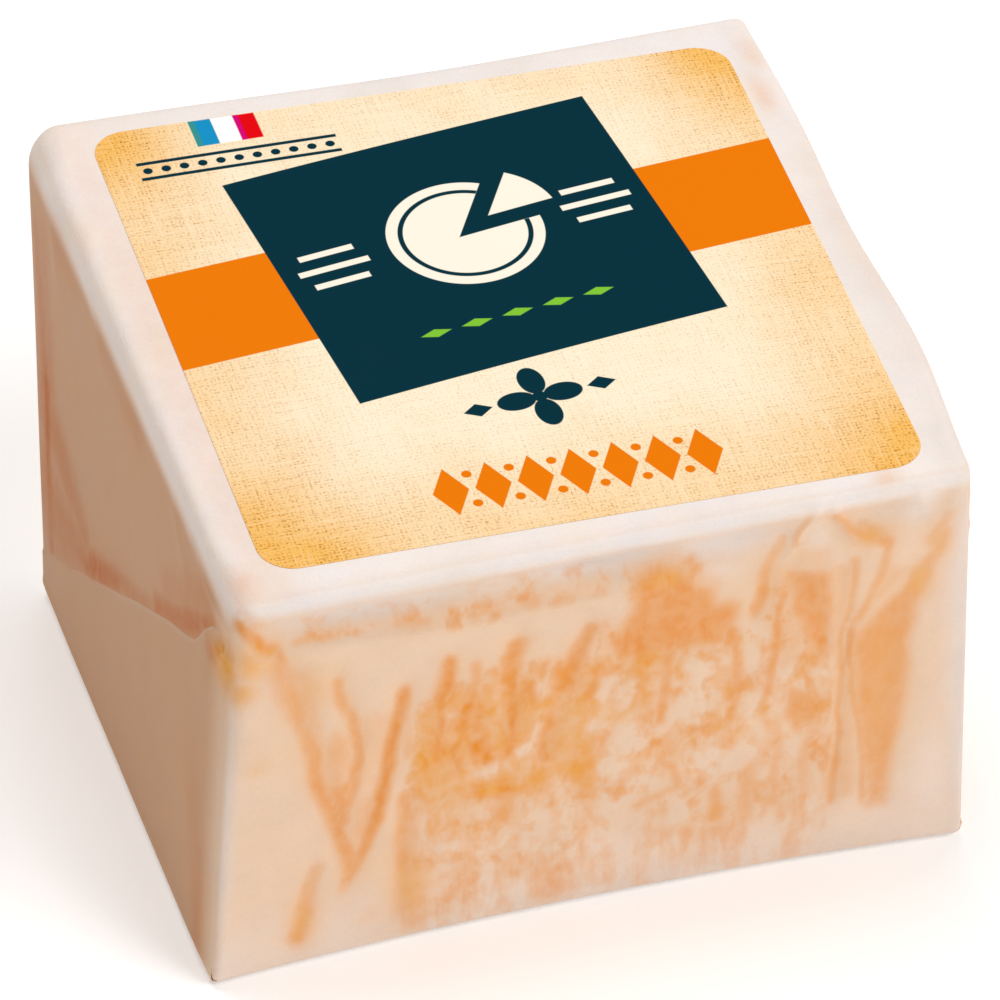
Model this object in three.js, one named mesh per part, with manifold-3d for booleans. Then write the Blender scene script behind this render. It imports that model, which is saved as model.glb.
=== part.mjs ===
// A small square block of double cream soft cheese in waxed paper, with a stuck-on label on its top.
// Units are millimetres. +Z is up, +Y is the back, and the origin is the middle of the underside.
// The ripe block leans and sags a little: its top falls towards the front, and no two corners are alike.
// Two solids: the wrapped block with the laps of its one sheet of paper, and the label.

import * as THREE from "three";
import { mergeVertices } from "three/addons/utils/BufferGeometryUtils.js";
import Module from "manifold-3d";

// Driving sizes of the wrapped block
const WIDTH = 62;
const DEPTH = 62;
const HEIGHT = 40; // about the mean: the top is lower in front
const TAIL_THICKNESS = 0.4; // the folded tails under the block, which it stands on

// The eight sharp corners that the rounded block is drawn inside
const CORNERS = {
  base: {
    frontLeft: [-33.1, -31.4, TAIL_THICKNESS],
    frontRight: [31.1, -30.2, TAIL_THICKNESS],
    backLeft: [-31.7, 28.0, TAIL_THICKNESS],
    backRight: [31.2, 29.0, TAIL_THICKNESS],
  },
  top: {
    frontLeft: [-30.4, -31.8, 37.0],
    frontRight: [31.2, -30.9, 37.0],
    backLeft: [-30.9, 32.3, 44.8],
    backRight: [32.0, 30.9, 43.7],
  },
};

// How round the paper lies over each corner
const RADII = {
  base: { frontLeft: 0.9, frontRight: 0.9, backLeft: 1.2, backRight: 1.0 },
  top: { frontLeft: 2.4, frontRight: 1.5, backLeft: 3.2, backRight: 1.0 },
};

// How the whole block is bent: its base is drawn in along the front and back, its top sags along the back
// edge, and its right side swells out, each swell with its share of the depth
const FRONT_BASE_BOW = 1.45;
const BACK_BASE_BOW = 1.1;
const BACK_EDGE_SAG = 0.6;
const RIGHT_SWELLS = [{ out: 1.2, at: 0.28 }, { out: 0.6, at: 0.76 }];

// The relief of single faces, in millimetres, at shares of the face's sides
const TOP_CROWN = 0.5;
const SHOULDER_HOLLOW = { deep: 0.45, at: 0.915, reach: 0.035 };
const SHOULDER_CREASE = { high: 0.3, at: 0.845, reach: 0.02, end: 0.55 };
const LEFT_HOLLOW = { deep: 0.25, at: [0.62, 0.62], reach: [0.3, 0.22] };

// Pleats where the paper clings to the rind: points as [x, z] from the face's lower left, then half width
const PLEAT_DEPTH = 0.4;
const FRONT_PLEATS = [
  { path: [[1, 35.5], [4.5, 31], [7, 22.5], [10.3, 11]], half: 1.3 },
  { path: [[9, 28.5], [10.9, 22], [10.8, 16]], half: 0.9 },
  { path: [[14.8, 26.5], [13.2, 19], [11, 7]], half: 1.0 },
  { path: [[15.2, 15], [15.2, 3.5]], half: 0.9 },
  { path: [[7.8, 10], [6.8, 3]], half: 0.9 },
  { path: [[23.8, 29], [23.5, 21]], half: 1.2 },
  { path: [[29.5, 29], [26.5, 17]], half: 1.0 },
  { path: [[45.8, 33.5], [43.8, 26.5]], half: 0.9 },
  { path: [[46.5, 30.5], [49.8, 22.5]], half: 1.2 },
  { path: [[51.3, 30], [50.8, 6]], half: 0.8 },
  { path: [[58.5, 32], [54.5, 22], [54.8, 4]], half: 1.9 },
];
const BACK_PLEATS = [
  { path: [[2, 34], [7, 20], [9, 6]], half: 1.4 },
  { path: [[16, 29], [18, 14]], half: 1.0 },
  { path: [[30, 27], [28, 8]], half: 1.0 },
  { path: [[43, 30], [46, 16], [45, 5]], half: 1.2 },
  { path: [[59, 33], [55, 20], [55, 6]], half: 1.6 },
];
const FACE_HEIGHT = 37; // the height that the pleats are measured in

// The laps folded over the two ends. Their upper edges are points as shares of the end's depth and height,
// from the front corner, past the kink where the top's paper is pinched in, to the foot of the back edge
const LAP_THICKNESS = 0.4;
const LAP_EDGE = [[0.012, 0.895], [0.065, 0.868], [0.166, 0.71], [0.985, 0.077]];
const LAP_GROWTH = 0.12; // the share of the end's depth over which the lap lifts off the front paper

// Under the block: two tails that taper inwards from the ends, and the long seam between them, as shares
const TAIL = { from: 0.03, to: 0.34, foot: 0.04, taper: 0.26 };
const SEAM = { from: 0.25, to: 0.75, front: 0.4, back: 0.6 };

// The label
const LABEL_WIDTH = 54.8;
const LABEL_DEPTH = 57;
const LABEL_RADIUS = 3.4;
const LABEL_CENTRE = [1.0, -0.5];
const LABEL_TURN = -0.8 * (Math.PI / 180);
const LABEL_THICKNESS = 0.3;
const LABEL_GAP = 0.3;

// How finely the solids are divided
const EDGE_LINES = [0, 0.014, 0.032, 0.058];
const STEPS = { across: 38, deep: 10, high: 14 };
const SINK = 0.5; // how far a lap reaches into the block, so that the two join

const clamp = (x, low, high) => Math.min(high, Math.max(low, x));
const mix = (a, b, t) => a + (b - a) * t;
const swell = (t) => 4 * t * (1 - t); // 0 at both ends, 1 in the middle
const hump = (x, middle, reach) => Math.exp(-(((x - middle) / reach) ** 2));
const smoothstep = (low, high, x) => {
  const t = clamp((x - low) / (high - low), 0, 1);
  return t * t * (3 - 2 * t);
};

// A value between those of the eight corners, at shares u across, v deep and w high
function between(table, u, v, w) {
  const level = (row) => mix(mix(row.frontLeft, row.frontRight, u), mix(row.backLeft, row.backRight, u), v);
  return mix(level(table.base), level(table.top), w);
}

// One coordinate of the corners, as a table that between() reads
function coordinate(axis) {
  const pick = (row) => Object.fromEntries(Object.entries(row).map(([name, at]) => [name, at[axis]]));
  return { base: pick(CORNERS.base), top: pick(CORNERS.top) };
}
const CORNER_X = coordinate(0);
const CORNER_Y = coordinate(1);
const CORNER_Z = coordinate(2);

function distanceToPath(x, z, path) {
  let nearest = Infinity;
  for (let i = 1; i < path.length; i++) {
    const [x0, z0] = path[i - 1];
    const [dx, dz] = [path[i][0] - x0, path[i][1] - z0];
    const t = clamp(((x - x0) * dx + (z - z0) * dz) / (dx * dx + dz * dz), 0, 1);
    nearest = Math.min(nearest, Math.hypot(x - x0 - t * dx, z - z0 - t * dz));
  }
  return nearest;
}

// How deep the pleats lie at a point of a long face
function pleatRelief(pleats, u, w) {
  const [x, z] = [u * WIDTH, w * FACE_HEIGHT];
  return -Math.max(...pleats.map(({ path, half }) => PLEAT_DEPTH * hump(distanceToPath(x, z, path), 0, half)));
}

// How far the block is bent away from its straight form at shares u across, v deep and w high
function bend(u, v, w) {
  const drawnIn = swell(u) * (1 - w) ** 2;
  const right = RIGHT_SWELLS.reduce((sum, { out, at }) => sum + out * hump(v, at, 0.2), 0);
  return [
    right * smoothstep(0.5, 1, u) * mix(0.4, 1, w),
    drawnIn * mix(FRONT_BASE_BOW, -BACK_BASE_BOW, v),
    -BACK_EDGE_SAG * hump(u, 0.55, 0.3) * smoothstep(0.9, 1, v) * w,
  ];
}

// The relief of each face, outwards, in millimetres
const relief = {
  front(u, w) {
    const { deep, at, reach } = SHOULDER_HOLLOW;
    const crease = SHOULDER_CREASE;
    const hollow = -deep * hump(w, at, reach) * smoothstep(0.02, 0.12, u);
    const fade = 1 - smoothstep(crease.end - 0.05, crease.end + 0.05, u);
    const ridge = crease.high * hump(w, crease.at, crease.reach) * fade;
    return hollow + ridge + pleatRelief(FRONT_PLEATS, u, w);
  },
  back(u, w) {
    return pleatRelief(BACK_PLEATS, u, w);
  },
  left(v, w) {
    const { deep, at, reach } = LEFT_HOLLOW;
    return -deep * hump(v, at[0], reach[0]) * hump(w, at[1], reach[1]);
  },
  top(u, v) {
    return TOP_CROWN * swell(u) * swell(v);
  },
};

// The point of the block's skin at a point (u, v, w) of the unit cube's skin, lifted outwards
function skin(u, v, w, lift = 0) {
  const radius = between(RADII, u, v, w);
  const half = [WIDTH / 2, DEPTH / 2, HEIGHT / 2];
  const sharp = [u, v, w].map((t, axis) => (2 * t - 1) * half[axis]);
  const inner = sharp.map((q, axis) => clamp(q, radius - half[axis], half[axis] - radius));
  const out = new THREE.Vector3(...sharp.map((q, axis) => q - inner[axis])).normalize();
  const [ru, rv, rw] = inner.map((q, axis) => ((q + out.getComponent(axis) * radius) / half[axis] + 1) / 2);
  const faces = [
    [out.x, out.x < 0 ? relief.left(v, w) : 0],
    [out.y, out.y < 0 ? relief.front(u, w) : relief.back(u, w)],
    [out.z, out.z < 0 ? 0 : relief.top(u, v)],
  ];
  const [dx, dy, dz] = faces.map(([facing, height]) => facing * Math.abs(facing) * (height + lift));
  const [bx, by, bz] = bend(ru, rv, rw);
  return [
    between(CORNER_X, ru, rv, rw) + bx + dx,
    between(CORNER_Y, ru, rv, rw) + by + dy,
    between(CORNER_Z, ru, rv, rw) + bz + dz,
  ];
}

// Lines from 0 to 1, close together where the edges turn
function lines(steps) {
  const [first, last] = [EDGE_LINES.at(-1), 1 - EDGE_LINES.at(-1)];
  const middle = Array.from({ length: steps - 1 }, (_, i) => mix(first, last, (i + 1) / steps));
  return [...EDGE_LINES, ...middle, ...EDGE_LINES.map((t) => 1 - t).reverse()];
}

function geometryOf(points, triangles) {
  const geometry = new THREE.BufferGeometry();
  geometry.setAttribute("position", new THREE.BufferAttribute(new Float32Array(points.flat()), 3));
  geometry.setIndex(triangles);
  return mergeVertices(geometry, 1e-4);
}

// A grid of points as triangles that face along its columns crossed with its rows
function weave(points, triangles, rows, columns, at, flip) {
  const first = points.length;
  for (let i = 0; i <= rows; i++) for (let j = 0; j <= columns; j++) points.push(at(i, j));
  const index = (i, j) => first + i * (columns + 1) + j;
  for (let i = 0; i < rows; i++) {
    for (let j = 0; j < columns; j++) {
      const [a, b, c, d] = [index(i, j), index(i, j + 1), index(i + 1, j + 1), index(i + 1, j)];
      triangles.push(...(flip ? [a, c, b, a, d, c] : [a, b, c, a, c, d]));
    }
  }
}

function blockGeometry() {
  const [across, deep, high] = [lines(STEPS.across), lines(STEPS.deep), lines(STEPS.high)];
  const [points, triangles] = [[], []];
  const face = (rows, columns, place, flip) => {
    const at = (i, j) => skin(...place(rows[i], columns[j]));
    weave(points, triangles, rows.length - 1, columns.length - 1, at, flip);
  };
  face(high, across, (w, u) => [u, 0, w], false);
  face(high, across, (w, u) => [u, 1, w], true);
  face(high, deep, (w, v) => [0, v, w], true);
  face(high, deep, (w, v) => [1, v, w], false);
  face(deep, across, (v, u) => [u, v, 1], false);
  face(deep, across, (v, u) => [u, v, 0], true);
  return geometryOf(points, triangles);
}

// A closed thin sheet: at(row, column, lift) places its inner and outer faces
function sheetGeometry(rows, columns, inner, outer, at, flip = false) {
  const [points, triangles] = [[], []];
  weave(points, triangles, rows, columns, (i, j) => at(i, j, outer), flip);
  weave(points, triangles, rows, columns, (i, j) => at(i, j, inner), !flip);
  const side = (count, edge, turn) =>
    weave(points, triangles, 1, count, (i, j) => at(...edge(j), i ? outer : inner), flip !== turn);
  side(columns, (j) => [0, j], false);
  side(columns, (j) => [rows, j], true);
  side(rows, (i) => [i, 0], true);
  side(rows, (i) => [i, columns], false);
  return geometryOf(points, triangles);
}

// The upper edge of an end lap, at a share v of the end's depth
function lapTop(v) {
  const last = LAP_EDGE.length - 1;
  const i = clamp(LAP_EDGE.findIndex(([at]) => at >= v), 1, last);
  const [[v0, w0], [v1, w1]] = [LAP_EDGE[i - 1], LAP_EDGE[i]];
  return mix(w0, w1, (v - v0) / (v1 - v0));
}

// A lap over one end: u is 0 on the left and 1 on the right
function lapGeometry(u) {
  const [rows, columns] = [5, 10];
  const [[front], [pinch], [kink], [back]] = LAP_EDGE;
  const beyond = Array.from({ length: columns + 1 }, (_, j) => mix(kink, back, j / columns));
  const shares = [front, pinch, mix(pinch, kink, 0.5), ...beyond];
  const at = (i, j, lift) => {
    const v = shares[j];
    const grown = lift > 0 ? lift * mix(0.1, 1, smoothstep(0, LAP_GROWTH, v)) : lift;
    return skin(u, v, mix(front, lapTop(v), i / rows), grown);
  };
  return sheetGeometry(rows, shares.length - 1, -SINK, LAP_THICKNESS, at, u === 0);
}

// A tail folded under the block from one end, narrower as it goes in
function tailGeometry(u) {
  const [rows, columns] = [2, 4];
  const at = (i, j, lift) => {
    const inwards = mix(TAIL.from, TAIL.to, j / columns);
    const inset = mix(TAIL.foot, TAIL.taper, j / columns);
    return skin(u === 0 ? inwards : 1 - inwards, mix(inset, 1 - inset, i / rows), 0, lift);
  };
  return sheetGeometry(rows, columns, -SINK, TAIL_THICKNESS, at, u === 0);
}

// The long seam under the block, between the tails
function seamGeometry() {
  const [rows, columns] = [2, 4];
  const at = (i, j, lift) => {
    return skin(mix(SEAM.from, SEAM.to, j / columns), mix(SEAM.front, SEAM.back, i / rows), 0, lift);
  };
  return sheetGeometry(rows, columns, -SINK, TAIL_THICKNESS, at, true);
}

// The shares across and deep of a point of the top, from its place in millimetres
function sharesOnTop(x, y) {
  const { frontLeft, frontRight, backLeft, backRight } = CORNERS.top;
  let [u, v] = [0.5, 0.5];
  for (let i = 0; i < 6; i++) {
    const [left, right] = [mix(frontLeft[0], backLeft[0], v), mix(frontRight[0], backRight[0], v)];
    u = (x - left) / (right - left);
    const [front, back] = [mix(frontLeft[1], frontRight[1], u), mix(backLeft[1], backRight[1], u)];
    v = (y - front) / (back - front);
  }
  return [u, v];
}

// Rows across the label as [y, how far the outline is drawn in]: round corners at both ends
function labelRows() {
  const [arcs, straights] = [4, 8];
  const straight = LABEL_DEPTH / 2 - LABEL_RADIUS;
  const corner = Array.from({ length: arcs + 1 }, (_, i) => {
    const angle = ((Math.PI / 2) * i) / arcs;
    return [straight + LABEL_RADIUS * Math.sin(angle), LABEL_RADIUS * (1 - Math.cos(angle))];
  });
  const middle = Array.from({ length: straights - 1 }, (_, i) => {
    return [mix(-straight, straight, (i + 1) / straights), 0];
  });
  return [...corner.map(([y, inset]) => [-y, inset]).reverse(), ...middle, ...corner];
}

function labelGeometry() {
  const columns = 8;
  const rows = labelRows();
  const [cos, sin] = [Math.cos(LABEL_TURN), Math.sin(LABEL_TURN)];
  const at = (i, j, lift) => {
    const [y, inset] = rows[i];
    const x = ((2 * j) / columns - 1) * (LABEL_WIDTH / 2 - inset);
    const place = [LABEL_CENTRE[0] + x * cos - y * sin, LABEL_CENTRE[1] + x * sin + y * cos];
    return skin(...sharesOnTop(...place), 1, lift);
  };
  return sheetGeometry(rows.length - 1, columns, LABEL_GAP, LABEL_GAP + LABEL_THICKNESS, at);
}

const wasm = await Module();
wasm.setup();

function solidOf(geometry) {
  return new wasm.Manifold(
    new wasm.Mesh({
      numProp: 3,
      vertProperties: geometry.getAttribute("position").array,
      triVerts: new Uint32Array(geometry.index.array),
    }),
  );
}

function geometryOfSolid(solid) {
  const { vertProperties, triVerts } = solid.getMesh();
  const geometry = new THREE.BufferGeometry();
  geometry.setAttribute("position", new THREE.BufferAttribute(new Float32Array(vertProperties), 3));
  geometry.setIndex(new THREE.BufferAttribute(new Uint32Array(triVerts), 1));
  return geometry;
}

function wrapperGeometry() {
  const laps = [0, 1].flatMap((end) => [lapGeometry(end), tailGeometry(end)]);
  const pieces = [blockGeometry(), ...laps, seamGeometry()].map(solidOf);
  return geometryOfSolid(pieces.reduce((whole, piece) => whole.add(piece)));
}

function named(name, geometry, colour, roughness) {
  geometry.computeVertexNormals();
  const material = new THREE.MeshStandardMaterial({ color: colour, roughness, metalness: 0 });
  const mesh = new THREE.Mesh(geometry, material);
  mesh.name = name;
  return mesh;
}

const cheese = new THREE.Group();
cheese.add(named("wrapper", wrapperGeometry(), 0xeccdb8, 0.45));
cheese.add(named("label", labelGeometry(), 0xf9d9a4, 0.6));

// The origin goes to the middle of the underside
const box = new THREE.Box3().setFromObject(cheese);
const middle = box.getCenter(new THREE.Vector3());
for (const mesh of cheese.children) mesh.geometry.translate(-middle.x, -middle.y, -box.min.z);

export default cheese;
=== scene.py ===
"""A small square block of double cream soft cheese in waxed paper, with a printed label on its top.

The block, the laps folded over its two ends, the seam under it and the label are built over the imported
model, on the same corners, curves and folds as its source. Lengths in the shape code are millimetres.
"""

import math

import bpy
import numpy as np
from bpy.props import FloatProperty, FloatVectorProperty, IntProperty, PointerProperty
from bpy.types import Operator, Panel, PropertyGroup
from mathutils import Matrix, Vector


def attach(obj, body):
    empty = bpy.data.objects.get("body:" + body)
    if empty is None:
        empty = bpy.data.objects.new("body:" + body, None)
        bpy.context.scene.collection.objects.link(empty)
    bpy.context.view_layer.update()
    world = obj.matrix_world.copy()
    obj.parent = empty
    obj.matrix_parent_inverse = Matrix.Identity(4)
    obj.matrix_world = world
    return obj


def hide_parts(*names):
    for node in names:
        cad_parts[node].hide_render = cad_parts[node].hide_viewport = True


bl_info = {
    "name": "Paper-wrapped soft cheese",
    "version": (1, 0, 0),
    "blender": (4, 5, 0),
    "location": "View3D > Sidebar > Soft cheese",
    "description": "Builds a small square soft cheese in waxed paper, with its label, folds and stage",
    "category": "Add Mesh",
}

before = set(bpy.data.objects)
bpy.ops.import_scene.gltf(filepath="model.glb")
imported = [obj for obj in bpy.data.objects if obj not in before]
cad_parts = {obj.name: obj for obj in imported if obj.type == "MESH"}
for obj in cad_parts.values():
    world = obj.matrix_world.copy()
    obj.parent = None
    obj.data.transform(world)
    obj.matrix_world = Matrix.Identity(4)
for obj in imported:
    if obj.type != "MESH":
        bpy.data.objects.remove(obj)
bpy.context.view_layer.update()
MM = 0.001
PER_METRE = 1000  # millimetres in a metre

# The block's shape, as in its source

WIDTH, DEPTH, HEIGHT = 62.0, 62.0, 40.0
FRONT_HEIGHT = 37.0  # the height that places on the long faces are given in
CENTRING = np.array([0.24927, -0.08589, 0.0])  # from the drawn block to the middle of its underside
UNDER_FOLD = 0.4  # the folded paper that the block stands on

# The sharp corners of the base and of the top, each in the order front left, front right, back left,
# back right, and how round the paper lies over them
CORNERS = np.array([
    [[-33.1, -31.4, 0.4], [31.1, -30.2, 0.4], [-31.7, 28.0, 0.4], [31.2, 29.0, 0.4]],
    [[-30.4, -31.8, 37.0], [31.2, -30.9, 37.0], [-30.9, 32.3, 44.8], [32.0, 30.9, 43.7]],
])
RADII = np.array([[[0.9], [0.9], [1.2], [1.0]], [[2.4], [1.5], [3.2], [1.0]]])

FRONT_BASE_BOW, BACK_BASE_BOW, BACK_EDGE_SAG, TOP_CROWN = 1.45, 1.1, 0.6, 0.5
RIGHT_SWELLS = [(1.2, 0.28), (0.6, 0.76)]  # how far out, and where from front to back
LEFT_HOLLOW = 0.25  # in the middle of the left end
SHOULDER_HOLLOW, SHOULDER_DIP, SHOULDER_RIDGE = 0.4, 0.35, 0.3  # in the paper under the front's top edge
PLEAT_DEPTH = 0.4

# Pleats of the paper, as path and half width
FRONT_PLEATS = [
    ([(1, 35.5), (4.5, 31), (7, 22.5), (10.3, 11)], 1.3),
    ([(9, 28.5), (10.9, 22), (10.8, 16)], 0.9),
    ([(14.8, 26.5), (13.2, 19), (11, 7)], 1.0),
    ([(15.2, 15), (15.2, 3.5)], 0.9),
    ([(7.8, 10), (6.8, 3)], 0.9),
    ([(23.8, 29), (23.5, 21)], 1.2),
    ([(29.5, 29), (26.5, 17)], 1.0),
    ([(45.8, 33.5), (43.8, 26.5)], 0.9),
    ([(46.5, 30.5), (49.8, 22.5)], 1.2),
    ([(51.3, 30), (50.8, 6)], 0.8),
    ([(58.5, 32), (54.5, 22), (54.8, 4)], 1.9),
]
BACK_PLEATS = [
    ([(2, 34), (7, 20), (9, 6)], 1.4),
    ([(16, 29), (18, 14)], 1.0),
    ([(30, 27), (28, 8)], 1.0),
    ([(43, 30), (46, 16), (45, 5)], 1.2),
    ([(59, 33), (55, 20), (55, 6)], 1.6),
]

# Upper edge of the laps over the ends, as shares of the end's depth and height
LAP_EDGE = np.array([
    [0.012, 0.874], [0.052, 0.872], [0.081, 0.85], [0.113, 0.8], [0.135, 0.757], [0.158, 0.717],
    [0.194, 0.685], [0.274, 0.625], [0.355, 0.556], [0.435, 0.492], [0.516, 0.423], [0.597, 0.362],
    [0.677, 0.3], [0.758, 0.245], [0.798, 0.21], [0.911, 0.14], [0.985, 0.095],
])

# What only the dressed block has

LAP_ROOM = 0.14  # how far the ends lie in, for the laps over them
LAP_ROOM_AT_BACK = 0.08  # how much further the left end lies in at the back
BACK_ROOM = 0.04  # how far the back lies in
LEFT_EDGE_TIGHTER = 1.2  # how much smaller the radius is along the left of the top than its corners give
RIDGE_EASED = 0.27  # how much lower the ridge is at the front's left
LAP_TAIL = 0.34  # how far the laps reach under the block, as a share of its width
LAP_SUNK = 0.03  # how far the edges of the laps sink into the paper below
LABEL_CENTRE = np.array([1.0, -0.8, 0.0])  # from the middle of the drawn block
STEPS_ACROSS, STEPS_DEEP, STEPS_HIGH = 226, 88, 84  # even divisions of the block's sides
SHEET_SHARP = 50  # degrees from which an edge of a thin sheet stays sharp

# Crests and hollows of the paper on the front, as path, height and half width
FRONT_CREASES = [
    ([(4.8, 31.8), (10, 31.7), (14, 31.3), (17, 30.9), (20, 31.0), (26, 31.3), (31, 31.2)], 0.07, 0.4),
    ([(50.1, 35.6), (50.5, 34.0), (51.6, 32.3), (53.4, 30.8)], 0.3, 0.34),
    ([(46.5, 31.8), (47.1, 33.3), (48.4, 34.8), (48.8, 36.0)], 0.26, 0.34),
    ([(51.2, 34.2), (53.0, 32.6), (54.9, 31.2)], -0.24, 0.7),
    ([(46.9, 32.2), (48.0, 33.6)], -0.14, 0.6),
    ([(45.5, 32.6), (44.9, 30.6), (44.6, 28.0)], 0.12, 0.4),
    ([(51.5, 30.6), (51.4, 27.0), (51.0, 23.5)], 0.14, 0.4),
    ([(50.5, 22.0), (50.6, 14.0), (50.4, 8.0)], 0.1, 0.4),
    ([(57.2, 36.2), (57.4, 34.4), (58.6, 32.4)], 0.16, 0.6),
    ([(60.9, 35.6), (60.0, 33.2), (59.2, 31.6)], 0.14, 0.5),
    ([(0.4, 34.2), (2.2, 32.9), (4.2, 31.8), (4.8, 30.0)], 0.08, 0.4),
    ([(6.9, 35.0), (7.0, 33.0)], 0.08, 0.4),
    ([(28.8, 36.0), (31.0, 34.4), (33.6, 33.4)], 0.1, 0.5),
]
# The same on the ends, the left one from its back edge and the right one from its front edge
LEFT_CREASES = [
    ([(62.0, 33.6), (58.0, 33.2), (55.0, 31.9)], 0.26, 0.55),
    ([(61.5, 36.4), (57.0, 36.2), (50.0, 37.4)], 0.16, 0.7),
    ([(20.0, 38.8), (23.0, 37.2), (24.0, 35.0)], 0.12, 0.6),
    ([(45.0, 38.4), (46.0, 36.0), (49.0, 33.0)], 0.12, 0.7),
    ([(8.0, 38.6), (10.0, 35.5), (11.0, 31.0)], 0.1, 0.8),
]
RIGHT_CREASES = [
    ([(0.6, 33.2), (4.0, 33.0), (8.0, 31.0)], 0.26, 0.55),
    ([(1.0, 36.4), (6.0, 36.6), (14.0, 37.6)], 0.16, 0.7),
    ([(36.0, 38.6), (35.0, 35.8), (32.0, 32.6)], 0.12, 0.7),
    ([(53.0, 38.6), (51.0, 35.0), (50.0, 31.0)], 0.1, 0.8),
]
# The same on the top, from its front left
TOP_CREASES = [
    ([(59.2, 55.5), (60.4, 53.0), (62.0, 50.6)], 0.22, 0.5),
    ([(60.2, 61.5), (59.9, 58.0), (60.6, 55.4)], 0.16, 0.5),
    ([(0.2, 44.0), (2.0, 45.6), (3.2, 48.0)], 0.1, 0.6),
    ([(0.2, 21.0), (1.8, 23.0), (3.0, 26.0)], 0.1, 0.6),
    ([(60.6, 2.0), (60.2, 4.5), (61.2, 7.0)], 0.16, 0.5),
]

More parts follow.
